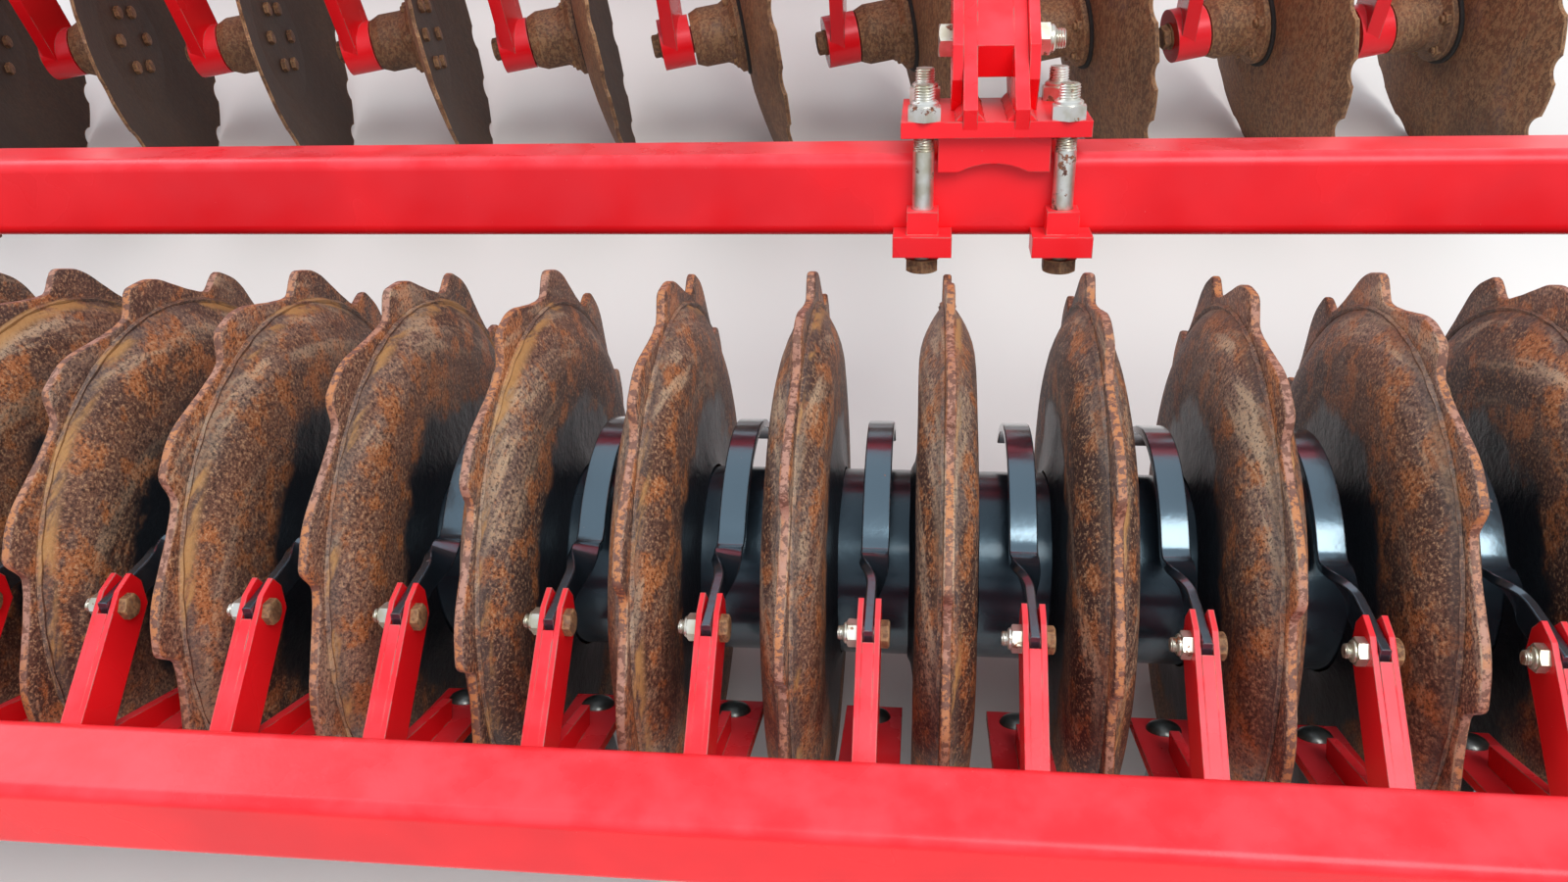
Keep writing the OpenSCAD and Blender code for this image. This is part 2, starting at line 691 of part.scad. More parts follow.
// Local frame of the scraper beam
module at_beam() {
    lay() translate([0, beam_y, scraper_beam_z]) rotate([-beam_lean, 0, 0]) children();
}
function from_beam(v, u) = [
    beam_y + v * cos(beam_lean) + u * sin(beam_lean),
    scraper_beam_z - v * sin(beam_lean) + u * cos(beam_lean)];
module scraper_beam() {
    color("red") at_beam() tube_x(beam_a, beam_wall, 10, toolbar_l);
}

// Places children at every gap between two rings
module at_gaps() {
    for (j = [1:rings - 1])
        lay() translate([(j - rings / 2) * ring_pitch + scraper_shift, 0, 0]) children();
}
fork_tip = [-151.6, 447];
fork_bolt = [-176, 436];
beam_top = from_beam(beam_a / 2, beam_a / 2 - 8);
beam_low = from_beam(beam_a / 2, -beam_a / 2 + 14);
fork_side = 4.5;
module scraper_arms() {
    color("red") at_gaps() difference() {
        union() {
            for (d = [-1, 1]) translate([d * (fork_w - fork_side) / 2, 0, 0]) along_x(fork_side)
                polygon([fork_tip + [0, 1], fork_tip + [3, -14], fork_tip + [-6, -34], beam_low,
                    beam_top, fork_tip + [-20, 4]]);
            along_x(fork_w - 2 * fork_side) polygon([[-190, 446.5], [-190, 441], beam_top + [0, -7],
                beam_top]);
        }
        translate([0, fork_bolt[0], fork_bolt[1]]) rod_x(6.2, 60);
    }
}
tongue_t = 8;
tongue_root = from_beam(beam_a / 2, -beam_a / 2 + 8);
tongue_end = [-146, 251];
tongue_dir = (tongue_end - tongue_root) / norm(tongue_end - tongue_root);
tongue_down = [tongue_dir[1], -tongue_dir[0]];
tongue_bolt = tongue_end - 22.8 * tongue_dir;
module beam_room(wide) {
    at_beam() translate([-wide, -100, -100]) cube([2 * wide, 100 + beam_a / 2 + 0.3, 200]);
}
module scraper_tongues() {
    color("red") difference() {
        at_gaps() union() {
            bar_yz(tongue_root - 12 * tongue_dir, tongue_end, tongue_t, tongue_w);
            along_x(fork_w - 2 * fork_side - 0.6)
                polygon([[-200, 291], [-182, 308], beam_low + [2, 30], beam_low - [12, 0], tongue_root]);
        }
        beam_room(toolbar_l / 2);
    }
}

// Strap: a bar on edge in the fork that turns flat and curves over the drum
bend_a = 28;
function strip_at(a, r) = [-r * sin(a), axle_z + r * cos(a)];
module bar_outline(p, q, wide) {
    d = q - p;
    translate(p) rotate(atan2(d[1], d[0])) translate([0, -wide / 2]) square([norm(d), wide]);
}
module arc_outline(from, to, r, thick) {
    far = 2 * r;
    translate([0, axle_z]) intersection() {
        difference() {
            circle(r, $fn = 96);
            circle(r - thick, $fn = 96);
        }
        polygon([[0, 0], [-far * sin(from), far * cos(from)], [0, far], [-far * sin(to), far * cos(to)]]);
    }
}
module scraper_straps() {
    turn = strip_at(bend_a, strip_r - strip_t / 2);
    mid = turn + 0.45 * (fork_bolt - turn);
    color("black") at_gaps() difference() {
        union() {
            along_x(strip_w) union() {
                arc_outline(-75, bend_a, strip_r, strip_t);
                bar_outline(turn - 0.02 * (fork_bolt - turn), mid, strip_t);
            }
            bar_yz(mid + 0.2 * (turn - mid), fork_bolt + [-12, 5.1], strip_w - 1, strip_t);
        }
        translate([0, fork_bolt[0], fork_bolt[1]]) rod_x(6.2, 60);
    }
}
knife_w = 44;
knife_t = 8;
knife_foot = [-206, 42];
module scraper_knives() {
    drop = (tongue_t + knife_t) / 2;
    top = tongue_bolt + drop * tongue_down;
    lift = 80;
    color("black") at_gaps() union() {
        bar_yz(top - 22 * tongue_dir, top + 20 * tongue_dir, knife_t, 34);
        difference() {
            bar_yz([-176, 275], knife_foot, knife_w, knife_t);
            bar_yz(top - 90 * tongue_dir - lift * tongue_down, top + 90 * tongue_dir - lift * tongue_down,
                2 * lift, 60);
        }
    }
}
module scraper_bolts() {
    color("silver") at_gaps() translate([0, fork_bolt[0], fork_bolt[1]]) {
        rod_x(6, fork_w);
        translate([fork_w / 2 + 3.5, 0, 0]) rod_x(9.5 / cos(30), 7, $fn = 6);
        translate([-fork_w / 2 - 5, 0, 0]) rod_x(9.5 / cos(30), 10, $fn = 6);
        translate([-fork_w / 2 - 12, 0, 0]) rod_x(6, 6);
    }
}

module drum() {
    len = ring_span + 2 * shell_half + 20;
    color("black") lay() translate([0, 0, axle_z]) union() {
        difference() {
            rod_x(drum_r, len, $fn = 96);
            rod_x(drum_r - drum_wall, len - 24, $fn = 96);
        }
        for (s = [-1, 1]) translate([s * (frame_in + end_plate_t + 30 + len / 2) / 2, 0, 0])
            rod_x(stub_r, frame_in + end_plate_t + 30 - len / 2 + 12);
    }
}

// Toothed plate: each tooth has a steep face, a short land and a long run back
tooth_a = 360 / ring_teeth;
ring_phase = 9.45;
function rim(r, a) = r * [-sin(a), cos(a)];
module tooth_outline() {
    mid_r = (ring_r + gullet_r) / 2 - 3;
    polygon([for (k = [0:ring_teeth - 1], p = [[ring_r, 0], [gullet_r, 2.2], [gullet_r - 1, 6],
        [mid_r, 15], [ring_r - 1, 22.8]]) rim(p[0], k * tooth_a + p[1])]);
}
// Pressed shell: the outside from the toothed plate round the shoulder to the drum, and back inside
module shell_profile() {
    side = ring_plate / 2;
    polygon([[shell_top_r, side], [shell_top_r - 3, side + 4], [shell_top_r - 12, 13],
        [shell_top_r - 24, 20], [shell_top_r - 36, shell_half - 1.6], [shell_top_r - 50, shell_half],
        [drum_r + 34, shell_half - 1], [drum_r + 10, shell_half + 1], [drum_r, shell_half + 6],
        [drum_r, shell_half + 6 - 2 * shell_t], [drum_r + 8, shell_half + 1 - shell_t],
        [drum_r + 34, shell_half - 1 - shell_t], [shell_top_r - 51, shell_half - shell_t],
        [shell_top_r - 39, shell_half - 2 - shell_t], [shell_top_r - 28, 20 - shell_t],
        [shell_top_r - 16, side + 4], [shell_top_r - 8, side]]);
}
module ring() {
    difference() {
        union() {
            rotate([90, 0, 90]) linear_extrude(height = ring_plate, center = true) tooth_outline();
            for (s = [-1, 1]) rotate([0, s * 90, 0]) rotate_extrude($fn = 96) shell_profile();
        }
        rod_x(drum_r, 200, $fn = 96);
    }
}
module rings_all() {
    color("sienna") for (j = [0:rings - 1])
        lay() translate([(j - (rings - 1) / 2) * ring_pitch, 0, axle_z])
            rotate([j % 2 == 0 ? ring_phase - tooth_a / 2 : ring_phase, 0, 0]) ring();
}

front_crossbeam();
rear_crossbeam();
frame_rails();
frame_caps();
hitch_lugs();
hitch_pins();
mast_head();
mast_legs();
mast_brace();
at_clamps(-1) housing();  // housings_front
at_clamps(1) housing();  // housings_rear
clamp_straps();
rubber_bushes();
arm_row(-1);  // disc_arms_front
arm_row(1);  // disc_arms_rear
depth_quadrants();
pivot_pins();
roller_arms();
guide_pins();
clamp_brackets();
clamp_feet();
clamp_bolts();
arm_bolts();
toolbar();
end_plates();
roller_bearings();
scraper_beam();
scraper_arms();
scraper_tongues();
scraper_straps();
scraper_knives();
scraper_bolts();
drum();
rings_all();  // rings
for (i = [1:10]) disc_place(i, -1);
for (i = [1:11]) disc_place(i, 1);
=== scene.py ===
# %% [markdown]
# # A compact disc harrow, seen over its packer roller
# The solids of this machine come from CAD as a fixed frame. This lesson dresses them: it gives each
# one its paint, rust or zinc, and adds what is too fine for the solids, such as threads, weld
# beads and the twist in a scraper strap. Everything is in metres, X across the machine, Y forward.

# %% The frame
import json
from math import cos, pi, radians, sin

import bpy
import numpy as np
from mathutils import Matrix, Vector


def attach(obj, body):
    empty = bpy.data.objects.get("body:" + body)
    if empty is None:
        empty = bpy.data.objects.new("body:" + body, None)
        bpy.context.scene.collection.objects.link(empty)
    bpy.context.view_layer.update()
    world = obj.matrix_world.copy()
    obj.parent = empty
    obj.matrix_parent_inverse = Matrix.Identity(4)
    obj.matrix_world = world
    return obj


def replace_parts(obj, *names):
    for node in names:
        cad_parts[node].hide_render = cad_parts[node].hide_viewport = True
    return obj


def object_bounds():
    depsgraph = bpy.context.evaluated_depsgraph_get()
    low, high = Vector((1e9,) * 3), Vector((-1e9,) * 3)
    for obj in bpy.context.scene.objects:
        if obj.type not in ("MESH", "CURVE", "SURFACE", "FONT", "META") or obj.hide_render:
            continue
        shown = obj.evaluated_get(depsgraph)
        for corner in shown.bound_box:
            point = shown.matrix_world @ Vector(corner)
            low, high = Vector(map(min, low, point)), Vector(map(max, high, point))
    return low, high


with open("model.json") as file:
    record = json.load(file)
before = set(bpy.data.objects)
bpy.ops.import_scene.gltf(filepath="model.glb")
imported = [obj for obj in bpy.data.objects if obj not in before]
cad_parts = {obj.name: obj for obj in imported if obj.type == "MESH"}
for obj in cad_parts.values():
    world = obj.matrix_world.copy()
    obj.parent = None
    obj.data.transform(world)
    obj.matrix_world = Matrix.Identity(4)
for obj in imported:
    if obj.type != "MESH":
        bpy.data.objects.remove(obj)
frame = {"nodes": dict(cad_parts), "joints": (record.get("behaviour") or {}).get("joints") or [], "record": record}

start_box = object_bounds()
scene = bpy.context.scene
MM = 0.001
X, Y, Z = Vector((1, 0, 0)), Vector((0, 1, 0)), Vector((0, 0, 1))
nodes = frame["nodes"]
joints = {j["name"]: j for j in frame["joints"]}
AXLE = Vector(joints["roller_spin"]["pos_m"])
print(len(nodes), "solids; the roller's axle is at", tuple(round(v, 4) for v in AXLE))

# %% [markdown]
# ## Small tools for meshes
# Most additions are turned, hexagonal or swept shapes that come in rows. Each one is made once as a
# bare shape, a pair of points and faces, then copied to every place by a matrix. The copies of one
# kind become one mesh, because one object per kind is easier to read than hundreds of bolts.

# %% Shapes and copies
def shape(points, faces):
    return np.array(points, float).reshape(-1, 3), [tuple(f) for f in faces]


def moved(part, matrix):
    m = np.array(matrix)
    return part[0] @ m[:3, :3].T + m[:3, 3], part[1]


def joined(parts):
    points, faces, start = [], [], 0
    for p, f in parts:
        points.append(p)
        faces += [tuple(i + start for i in face) for face in f]
        start += len(p)
    return np.vstack(points), faces


def copies(part, spots):
    return joined([moved(part, m) for m in spots])


def lifted(height):
    return Matrix.Translation((0, 0, height * MM))


def along(origin, axis, side=None):
    """A matrix that lays a shape's Z along axis, with its X towards side."""
    z = Vector(axis).normalized()
    x = Vector(side) if side else (X if abs(z.x) < 0.9 else Y)
    x = (x - z * x.dot(z)).normalized()
    y = z.cross(x)
    m = Matrix((x, y, z)).transposed().to_4x4()
    m.translation = Vector(origin)
    return m


def piece(name, part, finish, body, crease=35):
    """Makes the mesh, smooth except where it bends more than crease degrees, and lets it ride."""
    mesh = bpy.data.meshes.new(name)
    mesh.from_pydata(part[0].tolist(), [], part[1])
    mesh.validate()
    mesh.shade_smooth()
    mesh.set_sharp_from_angle(angle=radians(crease))
    mesh.materials.append(finish)
    obj = bpy.data.objects.new(name, mesh)
    scene.collection.objects.link(obj)
    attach(obj, body)
    print(name, "has", sum(len(f) - 2 for f in part[1]), "triangles")
    return obj


# %% Turned and swept shapes
def steps(first, last, count):
    return [first + (last - first) * k / (count - 1) for k in range(count)]


def tube_faces(rings, around, close=True):
    faces = [(r * around + k, r * around + (k + 1) % around,
              (r + 1) * around + (k + 1) % around, (r + 1) * around + k)
             for r in range(rings - 1) for k in range(around)]
    if close:
        faces.append(tuple(range(around))[::-1])
        faces.append(tuple((rings - 1) * around + k for k in range(around)))
    return faces


def turned(profile, around=32, close=True):
    """Turns a profile of (radius, height) pairs round Z."""
    points = [(r * cos(2 * pi * k / around), r * sin(2 * pi * k / around), h)
              for r, h in profile for k in range(around)]
    return shape(points, tube_faces(len(profile), around, close))


def swept(stations, outline):
    """Carries an outline of (across, up) pairs along stations of (place, across, up)."""
    points = [p + a * u + b * v for p, a, b in stations for u, v in outline]
    return shape([tuple(q) for q in points], tube_faces(len(stations), len(outline)))


# %% Hexagons and threads
CHAMFER_AT, CHAMFER_DROP, PLAIN_CORE = 0.96, 0.6, 0.2
THREAD_DEPTH, LEAD_IN = 0.55, 0.6


def hexagon(flats, height, bore=0.0, around=48):
    """A nut or a bolt head on Z = 0: six flats, with its corners turned off at the top."""
    def reach(k):
        turn = (2 * pi * k / around + pi / 6) % (pi / 3) - pi / 6
        return flats / 2 / cos(turn)
    inner = bore / 2 if bore else flats * PLAIN_CORE
    top = flats / 2 * CHAMFER_AT
    rows = [[(inner, 0)] * around, [(reach(k), 0) for k in range(around)],
            [(reach(k), height - max(reach(k) - top, 0) * CHAMFER_DROP) for k in range(around)],
            [(top, height)] * around, [(inner, height)] * around]
    points = [(r * cos(2 * pi * k / around), r * sin(2 * pi * k / around), h)
              for row in rows for k, (r, h) in enumerate(row)]
    return shape(points, tube_faces(len(rows), around))


def threaded(radius, pitch, length, around, per_turn):
    """A rod whose radius rises and falls once per pitch, turning as it climbs: a screw thread."""
    depth = THREAD_DEPTH * pitch
    rows = int(length / pitch * per_turn)
    points = []
    for r in range(rows + 1):
        h = length * r / rows
        for k in range(around):
            wave = abs(((h / pitch - k / around) % 1) * 2 - 1)
            end = min(1, (length - h) / pitch)
            rad = radius - depth * wave - LEAD_IN * depth * (1 - end)
            points.append((rad * cos(2 * pi * k / around), rad * sin(2 * pi * k / around), h))
    return shape(points, tube_faces(rows + 1, around))


# %% [markdown]
# ## Finishes
# Paint, rust and zinc share a few effects. Each effect is a node group: it puts out a mask or a
# colour, and the Principled shader stays in the material, where its fixed numbers are plain to see.

# %% Node helpers
MIX_FACTOR, MIX_A, MIX_B, MIX_COLOR = 0, 6, 7, 2


def feed(tree, socket, value):
    """Links a socket to another node's output, or sets it to a plain value."""
    if isinstance(value, bpy.types.NodeSocket):
        tree.links.new(value, socket)
    else:
        socket.default_value = value


def place(tree, kind, inputs=None, **settings):
    node = tree.nodes.new("ShaderNode" + kind)
    for key, value in settings.items():
        setattr(node, key, value)
    for key, value in (inputs or {}).items():
        feed(tree, node.inputs[key], value)
    return node


def calc(tree, operation, a, b=0.0):
    return place(tree, "Math", {0: a, 1: b}, operation=operation).outputs[0]


def remap(tree, value, low, high, to_low=0.0, to_high=1.0):
    node = place(tree, "MapRange", {"Value": value, "From Min": low, "From Max": high,
                                    "To Min": to_low, "To Max": to_high}, interpolation_type="SMOOTHSTEP")
    return node.outputs["Result"]


def mix(tree, mask, a, b):
    node = place(tree, "Mix", data_type="RGBA")
    for key, value in ((MIX_FACTOR, mask), (MIX_A, a), (MIX_B, b)):
        feed(tree, node.inputs[key], (*value, 1) if isinstance(value, tuple) else value)
    return node.outputs[MIX_COLOR]


def layer(tree, mask, below, color, amount=1.0):
    """Lays a colour over what is below it, as strongly as the mask and the amount say."""
    return mix(tree, calc(tree, "MULTIPLY", mask, amount), below, color)


def cloud(tree, at, scale, detail=4.0, roughness=0.5):
    return place(tree, "TexNoise", {"Vector": at, "Scale": scale, "Detail": detail,
                                    "Roughness": roughness}).outputs["Fac"]


def rounded(tree, radius):
    return place(tree, "Bevel", {"Radius": radius}, samples=4).outputs[0]


# %% Node groups and their use
def group(name, inputs, outputs):
    """An empty node group; inputs and outputs map a socket's name to (kind, default)."""
    tree = bpy.data.node_groups.new(name, "ShaderNodeTree")
    for side, sockets in (("INPUT", inputs), ("OUTPUT", outputs)):
        for label, (kind, default) in sockets.items():
            socket = tree.interface.new_socket(label, in_out=side, socket_type="NodeSocket" + kind)
            if default is not None:
                socket.default_value = default
    return tree, tree.nodes.new("NodeGroupInput").outputs, tree.nodes.new("NodeGroupOutput").inputs


def use(tree, effect, **inputs):
    node = tree.nodes.new("ShaderNodeGroup")
    node.node_tree = effect
    for label, value in inputs.items():
        feed(tree, node.inputs[label.replace("_", " ").capitalize()], value)
    return node.outputs


# %% [markdown]
# ### Shared effects
# Patches are noise cut at a level, which gives chips, stains and rust blooms alike. Worn edges come
# from the Bevel node: where the rounded normal leaves the face's own normal, there is an edge. The
# rust group mixes six tones, because old rust is never one brown.

# %% Patches
def patches_group():
    tree, into, out = group("patches", {"Vector": ("Vector", None), "Scale": ("Float", 8.0),
                                        "Level": ("Float", 0.6), "Softness": ("Float", 0.05)},
                            {"Mask": ("Float", None)})
    noise = cloud(tree, into["Vector"], into["Scale"], 5.0, 0.62)
    upper = calc(tree, "ADD", into["Level"], into["Softness"])
    tree.links.new(remap(tree, noise, into["Level"], upper), out["Mask"])
    return tree


patches = patches_group()


# %% Worn edges
def edges_group():
    tree, into, out = group("worn edges", {"Radius": ("Float", 0.002), "Wear": ("Float", 0.5),
                                           "Scale": ("Float", 60.0)}, {"Mask": ("Float", None)})
    edge, face = rounded(tree, into["Radius"]), place(tree, "NewGeometry").outputs["Normal"]
    dot = place(tree, "VectorMath", {0: edge, 1: face}, operation="DOT_PRODUCT").outputs["Value"]
    turn = calc(tree, "SUBTRACT", 1.0, dot)
    spots = cloud(tree, place(tree, "TexCoord").outputs["Object"], into["Scale"])
    level = calc(tree, "MULTIPLY", calc(tree, "SUBTRACT", 1.0, into["Wear"]), 0.3)
    worn = calc(tree, "MULTIPLY", turn, remap(tree, spots, 0.35, 0.65))
    tree.links.new(remap(tree, worn, level, calc(tree, "ADD", level, 0.05)), out["Mask"])
    return tree


edges = edges_group()

# %% Old rust
RUST_DARK, RUST_BROWN, RUST_GREY = (0.078, 0.031, 0.022), (0.200, 0.076, 0.044), (0.150, 0.092, 0.090)
RUST_ORANGE, RUST_PALE, RUST_PORE = (0.52, 0.165, 0.050), (0.46, 0.33, 0.19), (0.030, 0.013, 0.011)


def rust_group():
    tree, into, out = group("old rust", {"Vector": ("Vector", None), "Scale": ("Float", 10.0),
                                         "Orange": ("Float", 0.4), "Pale": ("Float", 0.2)},
                            {"Color": ("Color", None), "Height": ("Float", None)})

    def finer(times, detail, roughness):
        scale = calc(tree, "MULTIPLY", into["Scale"], times)
        return cloud(tree, into["Vector"], scale, detail, roughness)

    broad = cloud(tree, into["Vector"], into["Scale"], 6.0, 0.65)
    fine, grit = finer(7.0, 6.0, 0.7), finer(30.0, 3.0, 0.6)
    base = mix(tree, remap(tree, broad, 0.38, 0.60), RUST_DARK, RUST_BROWN)
    grey = mix(tree, remap(tree, finer(1.7, 5.0, 0.6), 0.53, 0.66, 0.0, 0.85), base, RUST_GREY)
    bloom = calc(tree, "MULTIPLY", remap(tree, fine, 0.47, 0.62), into["Orange"])
    warm = mix(tree, bloom, grey, RUST_ORANGE)
    film = calc(tree, "MULTIPLY", remap(tree, finer(4.3, 7.0, 0.72), 0.52, 0.66), into["Pale"])
    toned = mix(tree, film, warm, RUST_PALE)
    pores = mix(tree, remap(tree, grit, 0.34, 0.46, 0.7, 0.0), toned, RUST_PORE)
    tree.links.new(pores, out["Color"])
    tree.links.new(calc(tree, "ADD", fine, calc(tree, "MULTIPLY", grit, 0.6)), out["Height"])
    return tree


rust = rust_group()
print("effects:", [t.name for t in bpy.data.node_groups])


# %% A blank material
def blank_material(name, color, roughness, metallic=0.0, specular=0.5, coat=0.0, coat_roughness=0.1):
    material = bpy.data.materials.new(name)
    material.use_nodes = True
    tree = material.node_tree
    shader = tree.nodes["Principled BSDF"]
    shader.inputs["Base Color"].default_value = (*color, 1)
    shader.inputs["Roughness"].default_value = roughness
    shader.inputs["Metallic"].default_value = metallic
    shader.inputs["Specular IOR Level"].default_value = specular
    shader.inputs["Coat Weight"].default_value = coat
    shader.inputs["Coat Roughness"].default_value = coat_roughness
    return material, tree, shader


def connect(tree, shader, **sockets):
    for label, value in sockets.items():
        tree.links.new(value, shader.inputs[label.replace("_", " ").title()])


def own_place(tree):
    return place(tree, "TexCoord").outputs["Object"]


def own_facing(tree):
    """Where a face looks, as X, Y and Z, fixed to the piece so that its wear turns with it."""
    return place(tree, "SeparateXYZ", {0: place(tree, "TexCoord").outputs["Normal"]}).outputs


def bump(tree, height, distance, strength, normal=None):
    inputs = {"Height": height, "Distance": distance, "Strength": strength}
    if normal is not None:
        inputs["Normal"] = normal
    return place(tree, "Bump", inputs).outputs["Normal"]


# %% [markdown]
# ### Red paint
# The frame is sprayed a glossy signal red. Sprayed paint is never flat, so it gets an orange-peel
# bump, a thin film of dust where faces look up, pale specks, and chips where plates have sharp edges.
# The lights on it look pink rather than white, which is the specular tint.

# %% Red paint
DEEP_RED, CLEAR_RED, PINK_GLOSS = (0.72, 0.006, 0.011), (0.90, 0.011, 0.016), (1.0, 0.60, 0.68, 1)
RED_DUST, SPECK = (0.86, 0.30, 0.36), (0.75, 0.45, 0.42)
CHIP, GRIME = (0.30, 0.19, 0.16), (0.20, 0.085, 0.035)


def red_paint():
    material, tree, shader = blank_material("red paint", (0.84, 0.010, 0.016), 0.22, specular=0.42)
    shader.inputs["Specular Tint"].default_value = PINK_GLOSS
    at = own_place(tree)
    shades = cloud(tree, at, 5.0, 3.0)
    red = mix(tree, remap(tree, shades, 0.35, 0.68), DEEP_RED, CLEAR_RED)
    level_faces = remap(tree, own_facing(tree)["Z"], 0.25, 0.95, 0.0, 0.15)
    settled = remap(tree, cloud(tree, at, 22.0, 5.0), 0.3, 0.7, 0.35, 1.0)
    film = calc(tree, "MULTIPLY", level_faces, settled)
    dusty = mix(tree, film, red, RED_DUST)
    specks = use(tree, patches, vector=at, scale=420.0, level=0.735, softness=0.02)["Mask"]
    specked = layer(tree, specks, dusty, SPECK, 0.55)
    chips = use(tree, edges, radius=0.0022, wear=0.74, scale=46.0)["Mask"]
    chipped = mix(tree, chips, specked, CHIP)
    stains = use(tree, patches, vector=at, scale=6.5, level=0.735, softness=0.03)["Mask"]
    smears = use(tree, patches, vector=at, scale=90.0, level=0.47, softness=0.1)["Mask"]
    grime = calc(tree, "MULTIPLY", stains, smears)
    stained = layer(tree, grime, chipped, GRIME, 0.7)
    dirt = calc(tree, "MULTIPLY", calc(tree, "ADD", film, grime), 0.5)
    rough = calc(tree, "ADD", remap(tree, shades, 0.3, 0.7, 0.20, 0.30), dirt)
    peel = bump(tree, cloud(tree, at, 240.0, 2.0), 0.0003, 0.22, rounded(tree, 0.0016))
    connect(tree, shader, base_color=stained, roughness=rough, normal=peel)
    return material


RED = red_paint()

# %% [markdown]
# ### Black paint
# The drum, the straps and the blades of the scrapers are dipped in black. A thick dip mirrors the sky
# with a blue cast, most of all on the straps, so its specular tint is blue and its index is high. The
# drum is duller. Rust comes through in spots, most of all along edges.

# %% Black paint
BLUE_GLOSS, DEEP_BLACK, BLUE_BLACK = (0.50, 0.80, 1.0, 1), (0.008, 0.012, 0.018), (0.020, 0.027, 0.036)


def black_paint(name, rust_level, gloss=0.2, index=1.6, coat=0.3):
    material, tree, shader = blank_material(name, (0.010, 0.012, 0.016), gloss, coat=coat,
                                            coat_roughness=0.14)
    shader.inputs["IOR"].default_value = index
    shader.inputs["Specular Tint"].default_value = BLUE_GLOSS
    at = own_place(tree)
    black = mix(tree, cloud(tree, at, 9.0), DEEP_BLACK, BLUE_BLACK)
    spots = use(tree, patches, vector=at, scale=60.0, level=rust_level, softness=0.04)["Mask"]
    wear = use(tree, edges, radius=0.002, wear=0.7, scale=70.0)["Mask"]
    broken = calc(tree, "MAXIMUM", spots, wear)
    brown = use(tree, rust, vector=at, scale=30.0, orange=0.35, pale=0.1)["Color"]
    rough = remap(tree, broken, 0.0, 1.0, gloss, 0.8)
    peel = bump(tree, cloud(tree, at, 150.0, 2.0), 0.0004, 0.35, rounded(tree, 0.0015))
    connect(tree, shader, base_color=mix(tree, broken, black, brown), roughness=rough, normal=peel)
    return material


BLACK = black_paint("black paint", 0.70, index=2.3, coat=1.0)
DRUM_BLACK = black_paint("black drum paint", 0.72, 0.26)
CAST_BLACK = black_paint("black enamel", 0.66, 0.35)

# %% [markdown]
# ### Rusted rings
# Soil polishes these pieces in work, and rain rusts them in the yard. On the rings the marks run round
# the rim, so the noise is stretched: it changes fast with the radius and slowly along the circle. Near
# the drum the rings still have their black paint, and the bare plate edges are the brightest.

# %% Tones and zones of a ring
DAMP_BROWN, DRY_BROWN = (0.062, 0.027, 0.020), (0.185, 0.083, 0.052)
GREY, ORANGE, CREAM = (0.245, 0.165, 0.135), (0.42, 0.138, 0.043), (0.60, 0.430, 0.280)
SHADE, DOT, GRAIN = (0.055, 0.026, 0.020), (0.030, 0.014, 0.011), (0.56, 0.33, 0.18)
SEAM, GOLD, OLD_BLACK = (0.085, 0.066, 0.058), (0.48, 0.25, 0.085), (0.012, 0.014, 0.018)
RIM_ORANGE, RIM_PINK = (0.45, 0.170, 0.060), (0.37, 0.185, 0.135)
RIM_PIT, RIM_GLINT = (0.150, 0.062, 0.042), (0.58, 0.32, 0.20)
GROOVE_STARTS, GROOVE_ENDS = (0.232, 0.241), (0.2495, 0.2475)
RIM_STARTS, PAINT_ENDS, ROUND_SHARE = (0.249, 0.253), (0.138, 0.162), 0.34


def from_axle(tree, at):
    """The radius from the roller's axle, and a vector that varies slowly round the circle."""
    off = place(tree, "VectorMath", {0: at, 1: tuple(AXLE)}, operation="SUBTRACT").outputs[0]
    parts = place(tree, "SeparateXYZ", {0: off}).outputs
    flat = place(tree, "CombineXYZ", {"Y": parts["Y"], "Z": parts["Z"]}).outputs[0]
    radius = place(tree, "VectorMath", {0: flat}, operation="LENGTH").outputs["Value"]
    slow = place(tree, "VectorMath", {0: flat, "Scale": ROUND_SHARE}, operation="SCALE").outputs[0]
    fast = place(tree, "CombineXYZ", {"X": parts["X"], "Y": radius}).outputs[0]
    return radius, place(tree, "VectorMath", {0: slow, 1: fast}, operation="ADD").outputs[0]


# %% Colour of the shells and of the rim
def shell_color(tree, at, streaky, facing, fine):
    """Brown under grey, orange and cream clouds; the pale ones lie where faces look up."""
    def marks(vector, scale, detail=6.0, roughness=0.62):
        return cloud(tree, vector, scale, detail, roughness)

    sky = remap(tree, facing["Z"], -0.3, 0.75, 0.15, 1.0)
    brown = mix(tree, remap(tree, marks(streaky, 7.0), 0.40, 0.60), DAMP_BROWN, DRY_BROWN)
    greyed = calc(tree, "MULTIPLY", remap(tree, marks(streaky, 17.0), 0.44, 0.60), sky)
    grey = layer(tree, greyed, brown, GREY, 0.72)
    orange = layer(tree, remap(tree, marks(at, 24.0, 8.0, 0.72), 0.49, 0.59), grey, ORANGE, 0.84)
    creamed = calc(tree, "MULTIPLY", remap(tree, marks(streaky, 34.0, 8.0, 0.7), 0.52, 0.64), sky)
    cream = layer(tree, creamed, orange, CREAM, 0.78)
    shaded = layer(tree, remap(tree, marks(streaky, 9.0, 3.0), 0.54, 0.70), cream, SHADE, 0.6)
    dots = layer(tree, remap(tree, fine, 0.40, 0.48, 1.0, 0.0), shaded, DOT, 0.80)
    return layer(tree, remap(tree, fine, 0.53, 0.62), dots, GRAIN, 0.62)


def rim_color(tree, broad, mottle):
    fresh = mix(tree, remap(tree, broad, 0.42, 0.58), RIM_ORANGE, RIM_PINK)
    return mix(tree, remap(tree, mottle, 0.47, 0.53), fresh, RIM_PIT)


